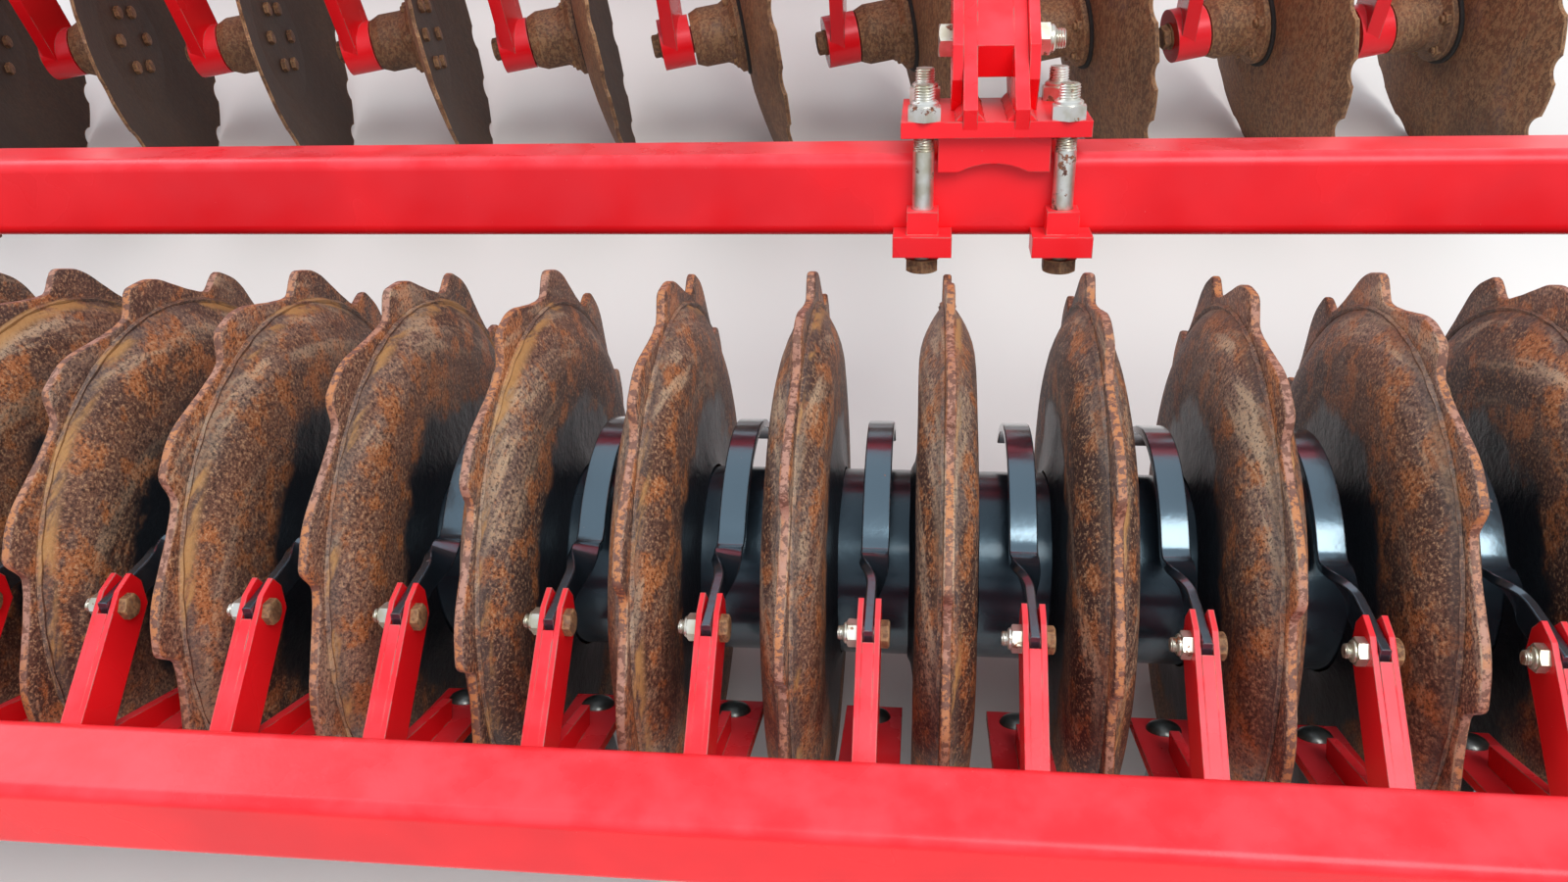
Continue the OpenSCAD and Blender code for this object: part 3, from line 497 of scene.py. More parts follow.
# %% Ring rust
def ring_rust():
    material, tree, shader = blank_material("rusted rings", (0.19, 0.09, 0.06), 0.6, specular=0.4)
    at = own_place(tree)
    radius, streaky = from_axle(tree, at)
    facing = own_facing(tree)
    broad, fine = cloud(tree, at, 12.0, 4.0, 0.62), cloud(tree, at, 330.0, 4.0, 0.75)
    mottle = cloud(tree, at, 150.0, 4.0, 0.7)
    shell = shell_color(tree, at, streaky, facing, fine)
    groove = calc(tree, "MULTIPLY", remap(tree, radius, *GROOVE_STARTS), remap(tree, radius, *GROOVE_ENDS))
    seamed = layer(tree, groove, shell, SEAM, 0.45)
    near = calc(tree, "MULTIPLY", groove, remap(tree, facing["X"], -0.2, 0.9, 0.1, 0.8))
    streaks = remap(tree, cloud(tree, streaky, 38.0, 6.0, 0.62), 0.50, 0.60)
    golden = layer(tree, calc(tree, "MULTIPLY", near, streaks), seamed, GOLD)
    edge_on = remap(tree, calc(tree, "ABSOLUTE", facing["X"]), 0.35, 0.8, 1.0, 0.0)
    rim = calc(tree, "MULTIPLY", remap(tree, radius, *RIM_STARTS), edge_on)
    bright = layer(tree, rim, golden, rim_color(tree, broad, mottle), 0.9)
    glint = use(tree, edges, radius=0.0018, wear=0.82, scale=150.0)["Mask"]
    rimmed = layer(tree, glint, bright, RIM_GLINT, 0.6)
    wander = calc(tree, "ADD", radius, remap(tree, broad, 0.3, 0.7, -0.014, 0.014))
    bare = remap(tree, wander, *PAINT_ENDS)
    painted = mix(tree, bare, OLD_BLACK, rimmed)
    rough = calc(tree, "ADD", remap(tree, bare, 0.0, 1.0, 0.30, 0.50), calc(tree, "MULTIPLY", fine, 0.1))
    rumpled = bump(tree, cloud(tree, at, 26.0, 3.0, 0.62), 0.006, 0.4, rounded(tree, 0.0012))
    pitted = bump(tree, mottle, 0.0013, 0.55, bump(tree, fine, 0.0010, 0.5, rumpled))
    connect(tree, shader, base_color=painted, roughness=rough, normal=pitted)
    return material


RING_RUST = ring_rust()

# %% [markdown]
# ### Rusted discs
# A blade rusts in fine speckles and pits with broad dark stains, and its edge is worn bright. Its
# hollow side is darkened with painted shade. A mask drawn on the blade could say which side that
# is, but the direction of a face says it without one, and it turns with the blade. Bolt heads that
# sit in soil get the same rust at a finer scale.

# %% Disc rust
LOAM, SPECKLE, PIT = (0.200, 0.105, 0.048), (0.36, 0.200, 0.095), (0.050, 0.026, 0.016)
# The third tone, the near black of the hollow side, is painted shade.
STAIN, HOLLOW_SHADE, WORN_EDGE = (0.058, 0.031, 0.020), (0.034, 0.020, 0.014), (0.48, 0.27, 0.12)


def disc_rust(name, scale, orange, pale, roughness, hollow=0.0):
    """Rust of a blade; hollow is the X direction its hollow side faces, which gets painted shade."""
    material, tree, shader = blank_material(name, (0.22, 0.10, 0.06), roughness, specular=0.35)
    at = own_place(tree)
    drawn = place(tree, "Mapping", {"Vector": at, "Scale": (1.0, 1.0, 0.45)}).outputs[0]
    coat = use(tree, rust, vector=drawn, scale=scale, orange=orange, pale=pale)
    warm = mix(tree, 0.45, coat["Color"], LOAM)
    speckle = use(tree, patches, vector=drawn, scale=240.0, level=0.47, softness=0.08)["Mask"]
    speckled = layer(tree, speckle, warm, SPECKLE, 0.6)
    pits = use(tree, patches, vector=at, scale=330.0, level=0.55, softness=0.06)["Mask"]
    pitted = layer(tree, pits, speckled, PIT, 0.55)
    stained = mix(tree, remap(tree, cloud(tree, at, 5.0), 0.46, 0.64, 0.0, 0.55), pitted, STAIN)
    # Painted shade: faces turned to the hollow side are darkened, up to 84 per cent.
    hollow_shade = remap(tree, calc(tree, "MULTIPLY", own_facing(tree)["X"], hollow), 0.1, 0.6, 0.0, 0.84)
    hollow_shaded = mix(tree, hollow_shade, stained, HOLLOW_SHADE)
    edge = use(tree, edges, radius=0.004, wear=0.86, scale=90.0)["Mask"]
    bright = layer(tree, edge, hollow_shaded, WORN_EDGE, 0.7)
    rough = calc(tree, "ADD", calc(tree, "MULTIPLY", coat["Height"], 0.15), roughness - 0.1)
    flaking = bump(tree, coat["Height"], 0.0012, 0.6, rounded(tree, 0.0015))
    connect(tree, shader, base_color=bright, roughness=rough, normal=flaking)
    return material


DISC_RUST = {row: disc_rust(f"rusted {row} discs", 9.0, 0.35, 0.25, 0.62, toward)
             for row, toward in (("rear", 1.0), ("front", -1.0))}
HEAD_RUST = disc_rust("rusted bolt heads", 60.0, 0.5, 0.35, 0.6)

# %% [markdown]
# ### Zinc and rubber
# Nuts and bolts are zinc plated with a yellowish cast. The plating has broken in places, and rust
# shows through, so one mask changes the colour, the gloss and the metal together. Round heads that
# sit in soil turn a dull dark grey. The rubber cords in the arm clamps are plain and matt.

# %% Zinc and rubber
def zinc(name, dull, clear, rust_level):
    material, tree, shader = blank_material(name, clear, 0.34, metallic=0.85)
    at = own_place(tree)
    clouds = cloud(tree, at, 45.0, 5.0)
    plate = mix(tree, remap(tree, clouds, 0.35, 0.65), dull, clear)
    broken = use(tree, patches, vector=at, scale=70.0, level=rust_level, softness=0.05)["Mask"]
    brown = use(tree, rust, vector=at, scale=60.0, orange=0.6, pale=0.2)["Color"]
    metal = remap(tree, broken, 0.0, 1.0, 0.85, 0.05)
    rough = remap(tree, broken, 0.0, 1.0, 0.32, 0.75)
    connect(tree, shader, base_color=mix(tree, broken, plate, brown), metallic=metal, roughness=rough,
            normal=bump(tree, clouds, 0.0004, 0.3))
    return material


def rubber():
    material, tree, shader = blank_material("cord rubber", (0.020, 0.020, 0.021), 0.75, specular=0.3)
    clouds = cloud(tree, own_place(tree), 60.0)
    connect(tree, shader, base_color=mix(tree, clouds, (0.012, 0.012, 0.013), (0.045, 0.040, 0.036)),
            normal=bump(tree, clouds, 0.0006, 0.4))
    return material


ZINC, RUBBER = zinc("zinc plate", (0.50, 0.47, 0.36), (0.72, 0.71, 0.66), 0.585), rubber()
DULL_STEEL = zinc("dull steel", (0.080, 0.085, 0.080), (0.22, 0.23, 0.22), 0.64)
print("finishes:", [m.name for m in bpy.data.materials])

# %% [markdown]
# ### Finishes on the solids
# Each solid takes the finish of its slot in the record.
# The rings, the drum and the discs of each row have finishes of their own within their slots.

# %% Dress the solids
BY_SLOT = {"red_paint": RED, "black_paint": BLACK, "cast_housing": CAST_BLACK,
           "zinc_steel": ZINC, "bush_rubber": RUBBER}
BY_NODE = {"rings": RING_RUST, "drum": DRUM_BLACK}


def finish_of(node, slot):
    if slot == "rusty_steel" and node.startswith("disc_"):
        return DISC_RUST["rear" if node.startswith("disc_r") else "front"]
    return BY_NODE.get(node) or BY_SLOT[slot]


for part in frame["record"]["subparts"]:
    slots = nodes[part["node"]].data.materials
    slots.clear()
    slots.append(finish_of(part["node"], part["material_slot"]))

# %% [markdown]
# ## Places on the machine
# The source gives its places in millimetres, with Y counted from the roller's axle, so the pieces
# here are placed the same way. Two bars lean: the toolbar before the roller and the scraper beam
# behind it. Each gets its own pair of directions, one across the bar and one up its lean.

# %% Places
SIDES = (-1, 1)
ARM_X = 603
BAR_Y, BAR_Z, BAR_LEAN = 307.5, 483, 25
BEAM_Y, BEAM_Z, BEAM_HALF, BEAM_LEAN = -316.5, 402.5, 35, 14
RING_COUNT, RING_PITCH, GAP_SHIFT = 22, 125, 3


def spot(x, y, z):
    """A place in millimetres: X from the middle, Y from the roller's axle, Z from the ground."""
    return Vector((x * MM, AXLE.y + y * MM, z * MM))


def leaning(angle):
    a = radians(angle)
    return Vector((0, cos(a), -sin(a))), Vector((0, sin(a), cos(a)))


def slope(angle):
    a = radians(angle)
    return Vector((0, cos(a), sin(a)))


bar_across, bar_up = leaning(BAR_LEAN)
beam_across, beam_up = leaning(BEAM_LEAN)
GAPS = [(j - RING_COUNT / 2) * RING_PITCH + GAP_SHIFT for j in range(1, RING_COUNT)]
RINGS = [(j - (RING_COUNT - 1) / 2) * RING_PITCH for j in range(RING_COUNT)]
print(len(GAPS), "scrapers between", len(RINGS), "rings")

# %% [markdown]
# ## Bolts and nuts
# A plated bolt reads as real by three things: its thread, the chamfer that turns the nut's corners
# off, and the nylon collar of a lock nut. The solids have plain cylinders and prisms here, so these
# meshes stand for them. The heads under the clamps have lost their plating and get rust instead.

# %% A bolt with its nut
M20 = {"r": 10, "flats": 30, "head": 13, "nut": 17, "pitch": 2.5}
M12 = {"r": 6, "flats": 19, "head": 7, "nut": 10, "pitch": 1.75}
ROOT_SHARE, BORE_SHARE, HEX_SHARE, COLLAR_SHARE, THREAD_HIDDEN = 0.86, 0.9, 0.8, 0.44, 10


def bolt_shapes(bolt, low, high, seat, thread_from, around=48):
    """Returns (bolt and nut, head) along Z: the head under low, the nut on its seat, the tip at high."""
    r, flats, nut, pitch = (bolt[k] for k in ("r", "flats", "nut", "pitch"))
    stem = turned([(r * MM, low * MM), (r * MM, thread_from * MM),
                   (r * ROOT_SHARE * MM, (thread_from + 1) * MM)], around // 2)
    screws = [moved(threaded(r * MM, pitch * MM, (b - a) * MM, around * 5 // 12, 4), lifted(a))
              for a, b in ((thread_from, seat - THREAD_HIDDEN), (seat + nut, high)) if b - a > pitch]
    hexes = hexagon(flats * MM, nut * HEX_SHARE * MM, 2 * r * BORE_SHARE * MM, around)
    ring = flats * COLLAR_SHARE
    collar = turned([(ring * MM, nut * 0.75 * MM), (ring * MM, nut * 0.95 * MM),
                     (ring * 0.85 * MM, nut * 1.05 * MM), (r * BORE_SHARE * MM, nut * 1.05 * MM)],
                    around * 2 // 3)
    cap = moved(hexagon(flats * MM, bolt["head"] * MM, around=around), along((0, 0, low * MM), -Z))
    return joined([stem, moved(hexes, lifted(seat)), moved(collar, lifted(seat))] + screws), cap


# %% Clamp bolts on the toolbar
BOLT_X, BOLT_V, PLATE_U, PLATE_T = 65.5, 52, 60, 15
body, cap = bolt_shapes(M20, low=-56, high=107, seat=PLATE_U + PLATE_T, thread_from=47)
spots = [along(spot(s * ARM_X + x * BOLT_X, BAR_Y, BAR_Z) + v * BOLT_V * MM * bar_across, bar_up)
         for s in SIDES for x in SIDES for v in SIDES]
clamp_bolts = piece("clamp_bolts_and_nuts", copies(body, spots), ZINC, "roller_frame")
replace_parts(clamp_bolts, "clamp_bolts")
piece("clamp_bolt_heads", copies(cap, spots), HEAD_RUST, "roller_frame")

# %% Bolts through the roller arms
BOLT1, ARM_SLOPE, LUG_BOLTS, LUG_OUT = (400, 588), 10.6, (0, 120), 40.3
body, cap = bolt_shapes(M20, low=-LUG_OUT, high=68, seat=LUG_OUT, thread_from=30)
spots = [along(spot(s * ARM_X, *BOLT1) + d * MM * slope(ARM_SLOPE), X) for s in SIDES for d in LUG_BOLTS]
arm_bolts = piece("arm_bolts_and_nuts", copies(joined([body, cap]), spots), ZINC, "roller_frame")
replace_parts(arm_bolts, "arm_bolts")

# %% Scraper bolts
FORK_BOLT, FORK_HALF = (-176, 436), 9
body, cap = bolt_shapes(M12, low=-FORK_HALF, high=FORK_HALF + 15, seat=FORK_HALF, thread_from=FORK_HALF - 3)
spots = [along(spot(x, *FORK_BOLT), -X) for x in GAPS]
scraper_bolts = piece("scraper_bolts_and_nuts", copies(body, spots), ZINC, "roller_frame")
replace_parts(scraper_bolts, "scraper_bolts")
piece("scraper_bolt_heads", copies(cap, spots), HEAD_RUST, "roller_frame")

# %% [markdown]
# ## Welds and small bolts of the frames
# The lugs of a roller arm's clamp stand on the top plate, and a thick fillet weld runs along each side
# of their feet. A plain wedge would look cut, so the weld's size wanders along its run. The roller's
# bearings hang on four bolts each, of which only the hexagon heads show.

# %% Fillets at the lugs
LUG_GAP, LUG_T, WELD_LEG = 34, 13, 7
WELD_RUNS = ((-1, -61, 57), (1, -61, -6))


def fillet(leg, length, parts=24):
    """A weld between a floor (x, y) and a wall (y, z): it runs along Y, and its face ripples."""
    points = []
    for k in range(parts + 1):
        y = length * k / parts
        w = leg * (1 + 0.06 * sin(k * 2.1) + 0.05 * sin(k * 0.9 + 1))
        points += [(0, y, 0), (w, y, 0), (w * 0.56, y, w * 0.56), (0, y, w)]
    return shape(points, tube_faces(parts + 1, 4))


welds = []
for s in SIDES:
    for lug in SIDES:
        for face, first, last in WELD_RUNS:
            x = lug * (LUG_GAP / 2 + (LUG_T if face > 0 else 0))
            middle = spot(s * ARM_X + x, BAR_Y, BAR_Z)
            foot = middle + (PLATE_U + PLATE_T) * MM * bar_up + first * MM * bar_across
            lay = Matrix((lug * face * X, bar_across, bar_up)).transposed().to_4x4()
            lay.translation = foot
            welds.append(moved(fillet(WELD_LEG * MM, (last - first) * MM), lay))
piece("lug_welds", joined(welds), RED, "roller_frame", 60)

# %% Bolts of the roller's bearings
BEARING_OUT, BEARING_CIRCLE = 1386.5, 53
small_head = hexagon(19 * MM, 8 * MM, around=24)
quarters = [pi / 4 + k * pi / 2 for k in range(4)]
corners = [(BEARING_CIRCLE * cos(a), BEARING_CIRCLE * sin(a)) for a in quarters]
spots = [along(spot(s * BEARING_OUT, y, AXLE.z / MM + z), s * X) for s in SIDES for y, z in corners]
piece("bearing_bolts", copies(small_head, spots), ZINC, "roller_frame")

# %% [markdown]
# ## Scraper straps
# A strap is a flat bar that lies on the drum as an arc, turns up behind it and twists a quarter turn,
# so that it can stand on edge in the fork of its arm. A swept outline does this in one go: the
# stations follow the path and their two directions turn about it along the twist.

# %% Path of a strap
STRIP_R, STRIP_T, STRIP_W, FRONT_A, REAR_A = 135, 8, 24, -75, 28
BEND_BEFORE, BEND_AFTER, BEND_RUN = 5, 4, 0.13
TIP_BACK, TIP_UP, TWIST_FROM, TWIST_SPAN = 12, 5.1, 0.08, 0.46


def on_drum(angle):
    middle, a = STRIP_R - STRIP_T / 2, radians(angle)
    return Vector((0, -middle * sin(a), AXLE.z / MM + middle * cos(a)))


def strap_path():
    """Places along the strap with its twist there: the arc, the bend and the straight, twisted run."""
    bend, tip = on_drum(REAR_A), Vector((0, FORK_BOLT[0] - TIP_BACK, FORK_BOLT[1] + TIP_UP))
    path = [(on_drum(a), 0.0) for a in steps(FRONT_A, REAR_A - BEND_BEFORE, 40)]
    run = tip - bend
    start, knee, end = on_drum(REAR_A - BEND_BEFORE), on_drum(REAR_A + BEND_AFTER), bend + run * BEND_RUN
    for t in steps(0.15, 1, 8):
        path.append(((1 - t) ** 2 * start + 2 * t * (1 - t) * knee + t * t * end, 0.0))
    for t in steps(0.17, 1, 26):
        twist = min(max((t - TWIST_FROM) / TWIST_SPAN, 0), 1)
        path.append((bend + run * t, radians(-90) * twist * twist * (3 - 2 * twist)))
    return path


# %% Twisted straps
def strap():
    path, stations = strap_path(), []
    for k, (p, twist) in enumerate(path):
        tangent = (path[min(k + 1, len(path) - 1)][0] - path[max(k - 1, 0)][0]).normalized()
        normal = tangent.cross(X)
        stations.append((p * MM, cos(twist) * X + sin(twist) * normal, cos(twist) * normal - sin(twist) * X))
    u, v, c = STRIP_W / 2 * MM, STRIP_T / 2 * MM, 0.9 * MM
    outline = [(u - c, -v), (u, -v + c), (u, v - c), (u - c, v),
               (c - u, v), (-u, v - c), (-u, c - v), (c - u, -v)]
    return swept(stations, outline)


spots = [Matrix.Translation((x * MM, AXLE.y, 0)) for x in GAPS]
straps = piece("twisted_straps", copies(strap(), spots), BLACK, "roller_frame", 30)
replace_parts(straps, "scraper_straps")

# %% [markdown]
# ## Round heads on the tongues
# Each knife hangs from a carriage bolt, whose smooth low dome shows on top of the red tongue. Half a
# ball would stand too high, so the dome is turned from a low profile of six points.

# %% Carriage bolts
TONGUE_END, TONGUE_T, KNIFE_BOLT_BACK = Vector((0, -146, 251)), 8, 22.8
DOME = [(15, 0), (14.6, 1.5), (12.5, 4), (9, 6), (4, 7.2), (0.5, 7.4)]
root = Vector((0, BEAM_Y, BEAM_Z)) + BEAM_HALF * beam_across + (TONGUE_T - BEAM_HALF) * beam_up
tongue = (TONGUE_END - root).normalized()
above = X.cross(tongue)
seat = TONGUE_END - KNIFE_BOLT_BACK * tongue + TONGUE_T / 2 * above
dome = turned([(r * MM, h * MM) for r, h in DOME])
spots = [along(spot(x, seat.y, seat.z), above) for x in GAPS]
piece("carriage_bolts", copies(dome, spots), DULL_STEEL, "roller_frame")

# %% [markdown]
# ## The toothed rings
# A ring is a plate with flame-cut teeth and two pressed shells welded to it. Work has rounded the
# teeth and bent the rim, and no two rings are quite alike. The solids have straight-edged teeth, so
# finer rings stand for them. The radius of the teeth is drawn between a few corners of one tooth and
# then smoothed, which rounds every corner as wear does.

# %% Outline of the teeth
RING_R, GULLET_R, TEETH, PHASE, SAMPLES = 278, 256, 12, 9.45, 480
CORNERS = [(0, RING_R), (2.2, GULLET_R), (6, GULLET_R - 1), (11, 258.5), (16, 265.5), (20, 273),
           (23.5, RING_R - 1), (30, RING_R)]


def tooth_radii(number):
    turn = np.arange(SAMPLES) * 360 / SAMPLES
    radii = np.interp(turn % (360 / TEETH), *zip(*CORNERS))
    for _ in range(2):
        radii = (np.roll(radii, 1) + 2 * radii + np.roll(radii, -1)) / 4
    worn = np.sin(np.radians(turn) * 3 + number) + np.sin(np.radians(turn) * 11 + 2 * number) + 2
    return radii - 0.35 * worn


# %% Plate of a ring
PLATE_FOOT, PLATE_REACH = 240, 38
PLATE_EDGE = [(-4, None), (-4, 1.8), (-3.4, 0.7), (-2, 0), (2, 0), (3.4, 0.7), (4, 1.8), (4, None)]


def round_axle(rows, phase):
    """Rows of (radius, x) arrays round the axle, as points and faces."""
    count = len(rows[0][0])
    angle = np.radians(np.arange(count) * 360 / count + phase)
    points = [np.stack([x, -r * np.sin(angle), r * np.cos(angle)], 1) for r, x in rows]
    return np.vstack(points) * MM, tube_faces(len(rows), count, close=False)


def ring_plate(number, phase):
    """The plate's edge, bent a little sideways; each row is (x, how far it lies within the rim)."""
    rim = tooth_radii(number)
    turn = np.radians(np.arange(SAMPLES) * 360 / SAMPLES)
    bent = 0.5 * np.sin(2 * turn + number) + 0.3 * np.sin(5 * turn + 2.3 * number)
    rows = []
    for x, less in PLATE_EDGE:
        radius = np.full(SAMPLES, float(PLATE_FOOT)) if less is None else rim - less
        rows.append((radius, x + bent * (radius - PLATE_FOOT) / PLATE_REACH))
    return round_axle(rows, phase)


# %% Shells of a ring
SHELL = [(246.5, 3.6), (243.5, 6.0), (239.5, 9.2), (234, 12.9), (227.5, 16.6), (220.5, 19.9),
         (213, 22.7), (205, 24.7), (196, 25.8), (185, 26.0), (168, 26.0), (148, 25.6), (126, 25.2),
         (108, 26.2), (97, 28.2), (90, 31.6)]
SHELL_IN, DENTS_FROM, DENTS_SPAN = 0.6, 248, 20


def ring_shell(number, side, phase, around=144):
    """A pressed shell through the (radius, x) pairs of its profile, with shallow dents."""
    turn = np.radians(np.arange(around) * 360 / around)
    dent = 0.35 * np.sin(3 * turn + 1.7 * number + side) + 0.25 * np.sin(7 * turn - number)
    rows = []
    for r, x in SHELL:
        inward = (SHELL_IN + dent) * min(1, (DENTS_FROM - r) / DENTS_SPAN)
        rows.append((np.full(around, float(r)), side * (x - inward)))
    return round_axle(rows[::-side], phase)


# %% The rings
def ring(number):
    phase = PHASE - (180 / TEETH if number % 2 == 0 else 0)
    return joined([ring_plate(number, phase), ring_shell(number, -1, phase), ring_shell(number, 1, phase)])


for half, numbers in (("left", range(RING_COUNT // 2)), ("right", range(RING_COUNT // 2, RING_COUNT))):
    worn = joined([moved(ring(k), Matrix.Translation((RINGS[k] * MM, AXLE.y, AXLE.z))) for k in numbers])
    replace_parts(piece(f"worn_rings_{half}", worn, RING_RUST, "roller", 50), "rings")

# %% [markdown]
# ### Weld seams on the rings
# The seam between plate and shell shows as a low, uneven bead. A torus would look machined, so its
# radius wanders and it is cut into ripples.

# %% Ring seams
SEAM_R, SEAM_X, BEAD_R, RIPPLES = 245.8, 4.6, 2.6, 42


def seam(radius, bead, ripples, around=168, sides=5):
    points = []
    for k in range(around):
        a = 2 * pi * k / around
        r = bead * (1 + 0.25 * sin(ripples * a) + 0.2 * sin(7 * a + 1))
        for i in range(sides):
            b = 2 * pi * i / sides
            reach = radius + r * cos(b)
            points.append((r * sin(b), reach * sin(a), reach * cos(a)))
    faces = [(k * sides + i, k * sides + (i + 1) % sides, (k + 1) % around * sides + (i + 1) % sides,
              (k + 1) % around * sides + i) for k in range(around) for i in range(sides)]
    return shape(points, faces)


spots = [Matrix.Translation(AXLE + Vector(((x + s * SEAM_X) * MM, 0, 0))) for x in RINGS for s in SIDES]
piece("ring_seams", copies(seam(SEAM_R * MM, BEAD_R * MM, RIPPLES), spots), RING_RUST, "roller", 60)

# %% [markdown]
# ## Rubber cords
# An arm's square shaft sits turned by 45 degrees in its square housing, with a rubber cord squeezed
# into each corner. When a disc meets a stone the shaft turns a little and rolls on the cords. The CAD
# has one plain block here; four cords stand for it.

# %% Where the arm clamps are
REAR_DISCS, FRONT_DISCS = 11, 10
DISCS = [f"disc_r{i + 1}" for i in range(REAR_DISCS)] + [f"disc_f{i + 1}" for i in range(FRONT_DISCS)]
ARM_BACK, REACH, SHAFT_Z = 108, 300, 650


def hub_of(name):
    return (Vector(joints[name + "_spin"][k]) for k in ("pos_m", "axis"))


def clamp_of(name):
    hub, axis = hub_of(name)
    return Vector((hub.x - axis.x * ARM_BACK * MM, hub.y + REACH * MM, SHAFT_Z * MM))


clamp_spots = [clamp_of(name) for name in DISCS]
print(len(clamp_spots), "arm clamps")

# %% Rubber cords in the arm clamps
CORD_R, CORD_AT, CLAMP_HALF, ARM_GAP, END_SHARE = 13.2, 28.8, 40, 12, 0.8
CORD = [(0.5, -1), (CORD_R * END_SHARE, -1), (CORD_R, 1), (CORD_R, CLAMP_HALF - 1),
        (CORD_R * END_SHARE, CLAMP_HALF + 1), (0.5, CLAMP_HALF + 1)]
cord = turned([(r * MM, h * MM) for r, h in CORD], 20)
spots = [along(middle + Vector((s * ARM_GAP, y * CORD_AT, z * CORD_AT)) * MM, s * X)
         for middle in clamp_spots for s in SIDES for y in SIDES for z in SIDES]
rubber_cords = piece("rubber_cords", copies(cord, spots), RUBBER, "frame")
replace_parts(rubber_cords, "rubber_bushes")

# %% [markdown]
# ## Bolts of the disc arms
# Four bolts squeeze each rubber clamp against its crossbeam, two before and two behind it. Where a
# frame rail or a depth plate is in the way the bolt is left out, as a fitter would. The bolt shape
# from above serves again, laid with its head up. A large bolt through the foot of the arm holds the
# hub's spindle.

# %% Clamp bolts of the disc arms
CLAMP_X, CLAMP_Y, CLAMP_UNDER, STRAP_TOP = 16.5, 65, 692, 812
RAIL_HALF, PLATE_FROM, PLATE_TO, SPANNER_ROOM = 50, 33, 42, 8
upright, top_head = bolt_shapes(dict(M12, head=7.5, nut=5.5), low=-STRAP_TOP, high=-CLAMP_UNDER + 13,
                                seat=-CLAMP_UNDER, thread_from=-CLAMP_UNDER - 20, around=24)


def blocked(x, inner, rear):
    """Whether a rail, on the inner side, or a depth plate, on the rear beam, is in a bolt's way."""
    off = abs(abs(x) - ARM_X)
    if inner:
        return off < RAIL_HALF + SPANNER_ROOM
    return rear and PLATE_FROM - SPANNER_ROOM < off < PLATE_TO + SPANNER_ROOM


rear_row_y = min(round(p.y, 4) for p in clamp_spots)
spots = []
for middle in clamp_spots:
    rear = round(middle.y, 4) == rear_row_y
    for x in SIDES:
        for y in SIDES:
            at = middle.x / MM + x * CLAMP_X
            if not blocked(at, (y > 0) == rear, rear):
                spots.append(along((at * MM, middle.y + y * CLAMP_Y * MM, 0), -Z))
piece("arm_clamp_bolts", copies(joined([upright, top_head]), spots), ZINC, "frame")
print(len(spots), "clamp bolts")

# %% Bolts in the feet of the arms
BOSS_BACK = 22
washer = turned([(19 * MM, -0.5 * MM), (19 * MM, 2.5 * MM), (16 * MM, 2.6 * MM)], 24)
tip_head = joined([hexagon(30 * MM, 13 * MM, around=24), washer])
spots = [along(hub - axis * (ARM_BACK + BOSS_BACK) * MM, -axis, Z) for hub, axis in map(hub_of, DISCS)]
piece("arm_tip_bolts", copies(tip_head, spots), HEAD_RUST, "frame")

# %% [markdown]
# ## Hub bolts
# A blade is bolted to its hub by a ring of bolts. Their heads show in the hollow of the blade and
# their nuts on the hub's flange, set round the axis in equal steps. A thin black ring of the cord
# rubber lies round the joint of blade and flange. They turn with the disc, so each disc gets its own pieces.

# %% Hub bolts
HUB_BOLTS, HUB_CIRCLE, FACE_IN, FACE_OUT = 6, 50, 5, -12
head = hexagon(18 * MM, 7 * MM, around=24)
tip = turned([(5.5 * MM, 0), (5.5 * MM, 12 * MM), (4.5 * MM, 13 * MM)], 16)
nut = joined([hexagon(18 * MM, 9 * MM, 11 * MM, around=24), tip])
# A thin plain black ring round the joint of blade and flange, in the cord rubber.
DARK_RING = [(61, -5), (66, -4.6), (67.5, -3), (67.5, 0.2)]
dark_ring = turned([(r * MM, h * MM) for r, h in DARK_RING], 48, close=False)
circle = [Matrix.Rotation(2 * pi * k / HUB_BOLTS, 4, "Z") @ Matrix.Translation((HUB_CIRCLE * MM, 0, 0))
          for k in range(HUB_BOLTS)]
for name in DISCS:
    hub, axis = hub_of(name)
    lay = along(hub, axis, Z)
    parts = [moved(head, lay @ m @ lifted(FACE_IN)) for m in circle]
    parts += [moved(nut, lay @ m @ along((0, 0, FACE_OUT * MM), -Z)) for m in circle]
    piece(name + "_bolts", joined(parts), HEAD_RUST, name)
    piece(name + "_seal", moved(dark_ring, lay), RUBBER, name)

# %% [markdown]
# ## Floor, light and camera
# A pale floor, a soft sky and two large soft lamps. The camera stands behind the machine, about
# 1.25 m above the ground, and looks down over the roller. Its place, tilt and lens were fitted to
# the ring teeth and to the edges of the two bars.

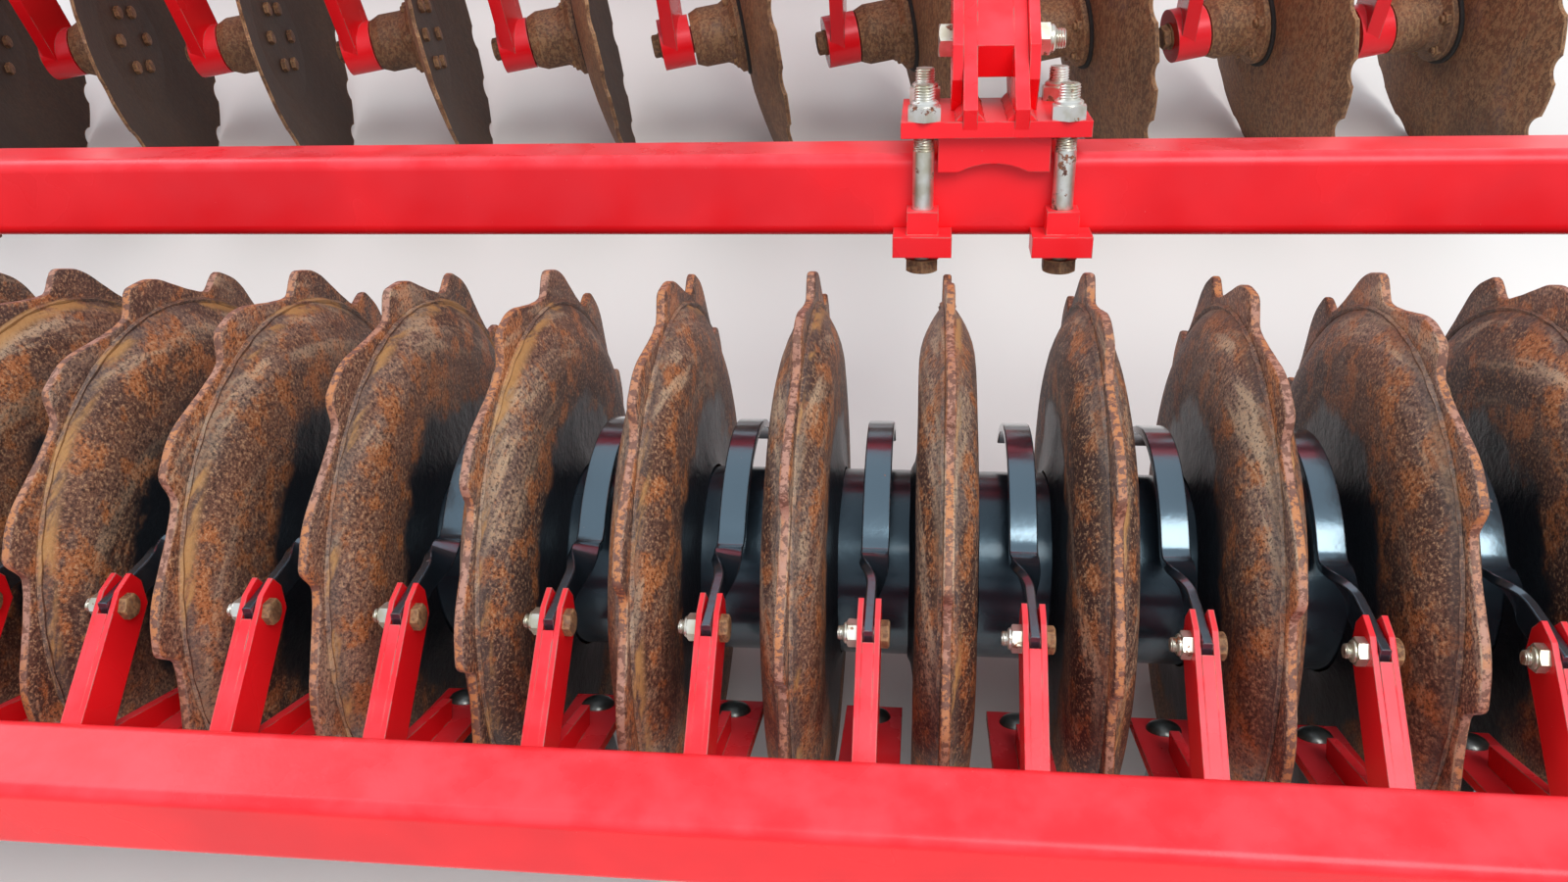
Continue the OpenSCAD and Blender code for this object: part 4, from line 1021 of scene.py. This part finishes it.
# %% Floor and sky
FLOOR_HALF, FLOOR_DROP, SKY, SKY_STRENGTH = 30.0, 0.001, (0.86, 0.92, 1.0, 1), 0.95
scene.view_settings.view_transform = "Standard"
floor = bpy.data.objects.new("floor", bpy.data.meshes.new("floor"))
corners = [(x * FLOOR_HALF, y * FLOOR_HALF, 0) for x, y in ((-1, -1), (1, -1), (1, 1), (-1, 1))]
floor.data.from_pydata(corners, [], [(0, 1, 2, 3)])
floor.location.z = start_box[0][2] - FLOOR_DROP
scene.collection.objects.link(floor)
floor.data.materials.append(blank_material("pale floor", (0.80, 0.79, 0.76), 0.9, specular=0.1)[0])

world = bpy.data.worlds.new("soft sky")
scene.world = world
world.use_nodes = True
world.node_tree.nodes["Background"].inputs["Color"].default_value = SKY
world.node_tree.nodes["Background"].inputs["Strength"].default_value = SKY_STRENGTH


# %% Lamps
def soft_lamp(name, at, target, size, watts, color):
    data = bpy.data.lights.new(name, "AREA")
    data.size, data.energy, data.color = size, watts, color
    lamp = bpy.data.objects.new(name, data)
    lamp.location = at
    lamp.rotation_euler = (Vector(target) - Vector(at)).to_track_quat("-Z", "Y").to_euler()
    scene.collection.objects.link(lamp)


soft_lamp("key", (2.2, -2.5, 5.0), AXLE, 3.0, 200, (1.0, 0.98, 0.95))
soft_lamp("fill", (-4.0, 2.0, 4.2), (0, 0, 0.5), 3.5, 120, (0.92, 0.96, 1.0))

# %% Camera
CAMERA_AT = AXLE + Vector((539.6, -661.3, 975.8)) * MM
PITCH, YAW, ROLL = radians(49.9186), radians(10.0014), radians(6.5836)
FOCAL_PX, IMAGE_W, SENSOR_W, CLIP = 1236.39, 1600, 36.0, (0.02, 200)
ahead = Vector((-sin(YAW) * cos(PITCH), cos(YAW) * cos(PITCH), -sin(PITCH)))
right = Vector((cos(YAW), sin(YAW), 0))
down = ahead.cross(right)
right, down = cos(ROLL) * right + sin(ROLL) * down, cos(ROLL) * down - sin(ROLL) * right
camera = bpy.data.objects.new("camera", bpy.data.cameras.new("camera"))
camera.data.sensor_width = SENSOR_W
camera.data.lens = FOCAL_PX / IMAGE_W * SENSOR_W
camera.data.clip_start, camera.data.clip_end = CLIP
camera.matrix_world = Matrix((right, -down, -ahead)).transposed().to_4x4()
camera.location = CAMERA_AT
scene.collection.objects.link(camera)
scene.camera = camera
print("lens", round(camera.data.lens, 2), "mm")
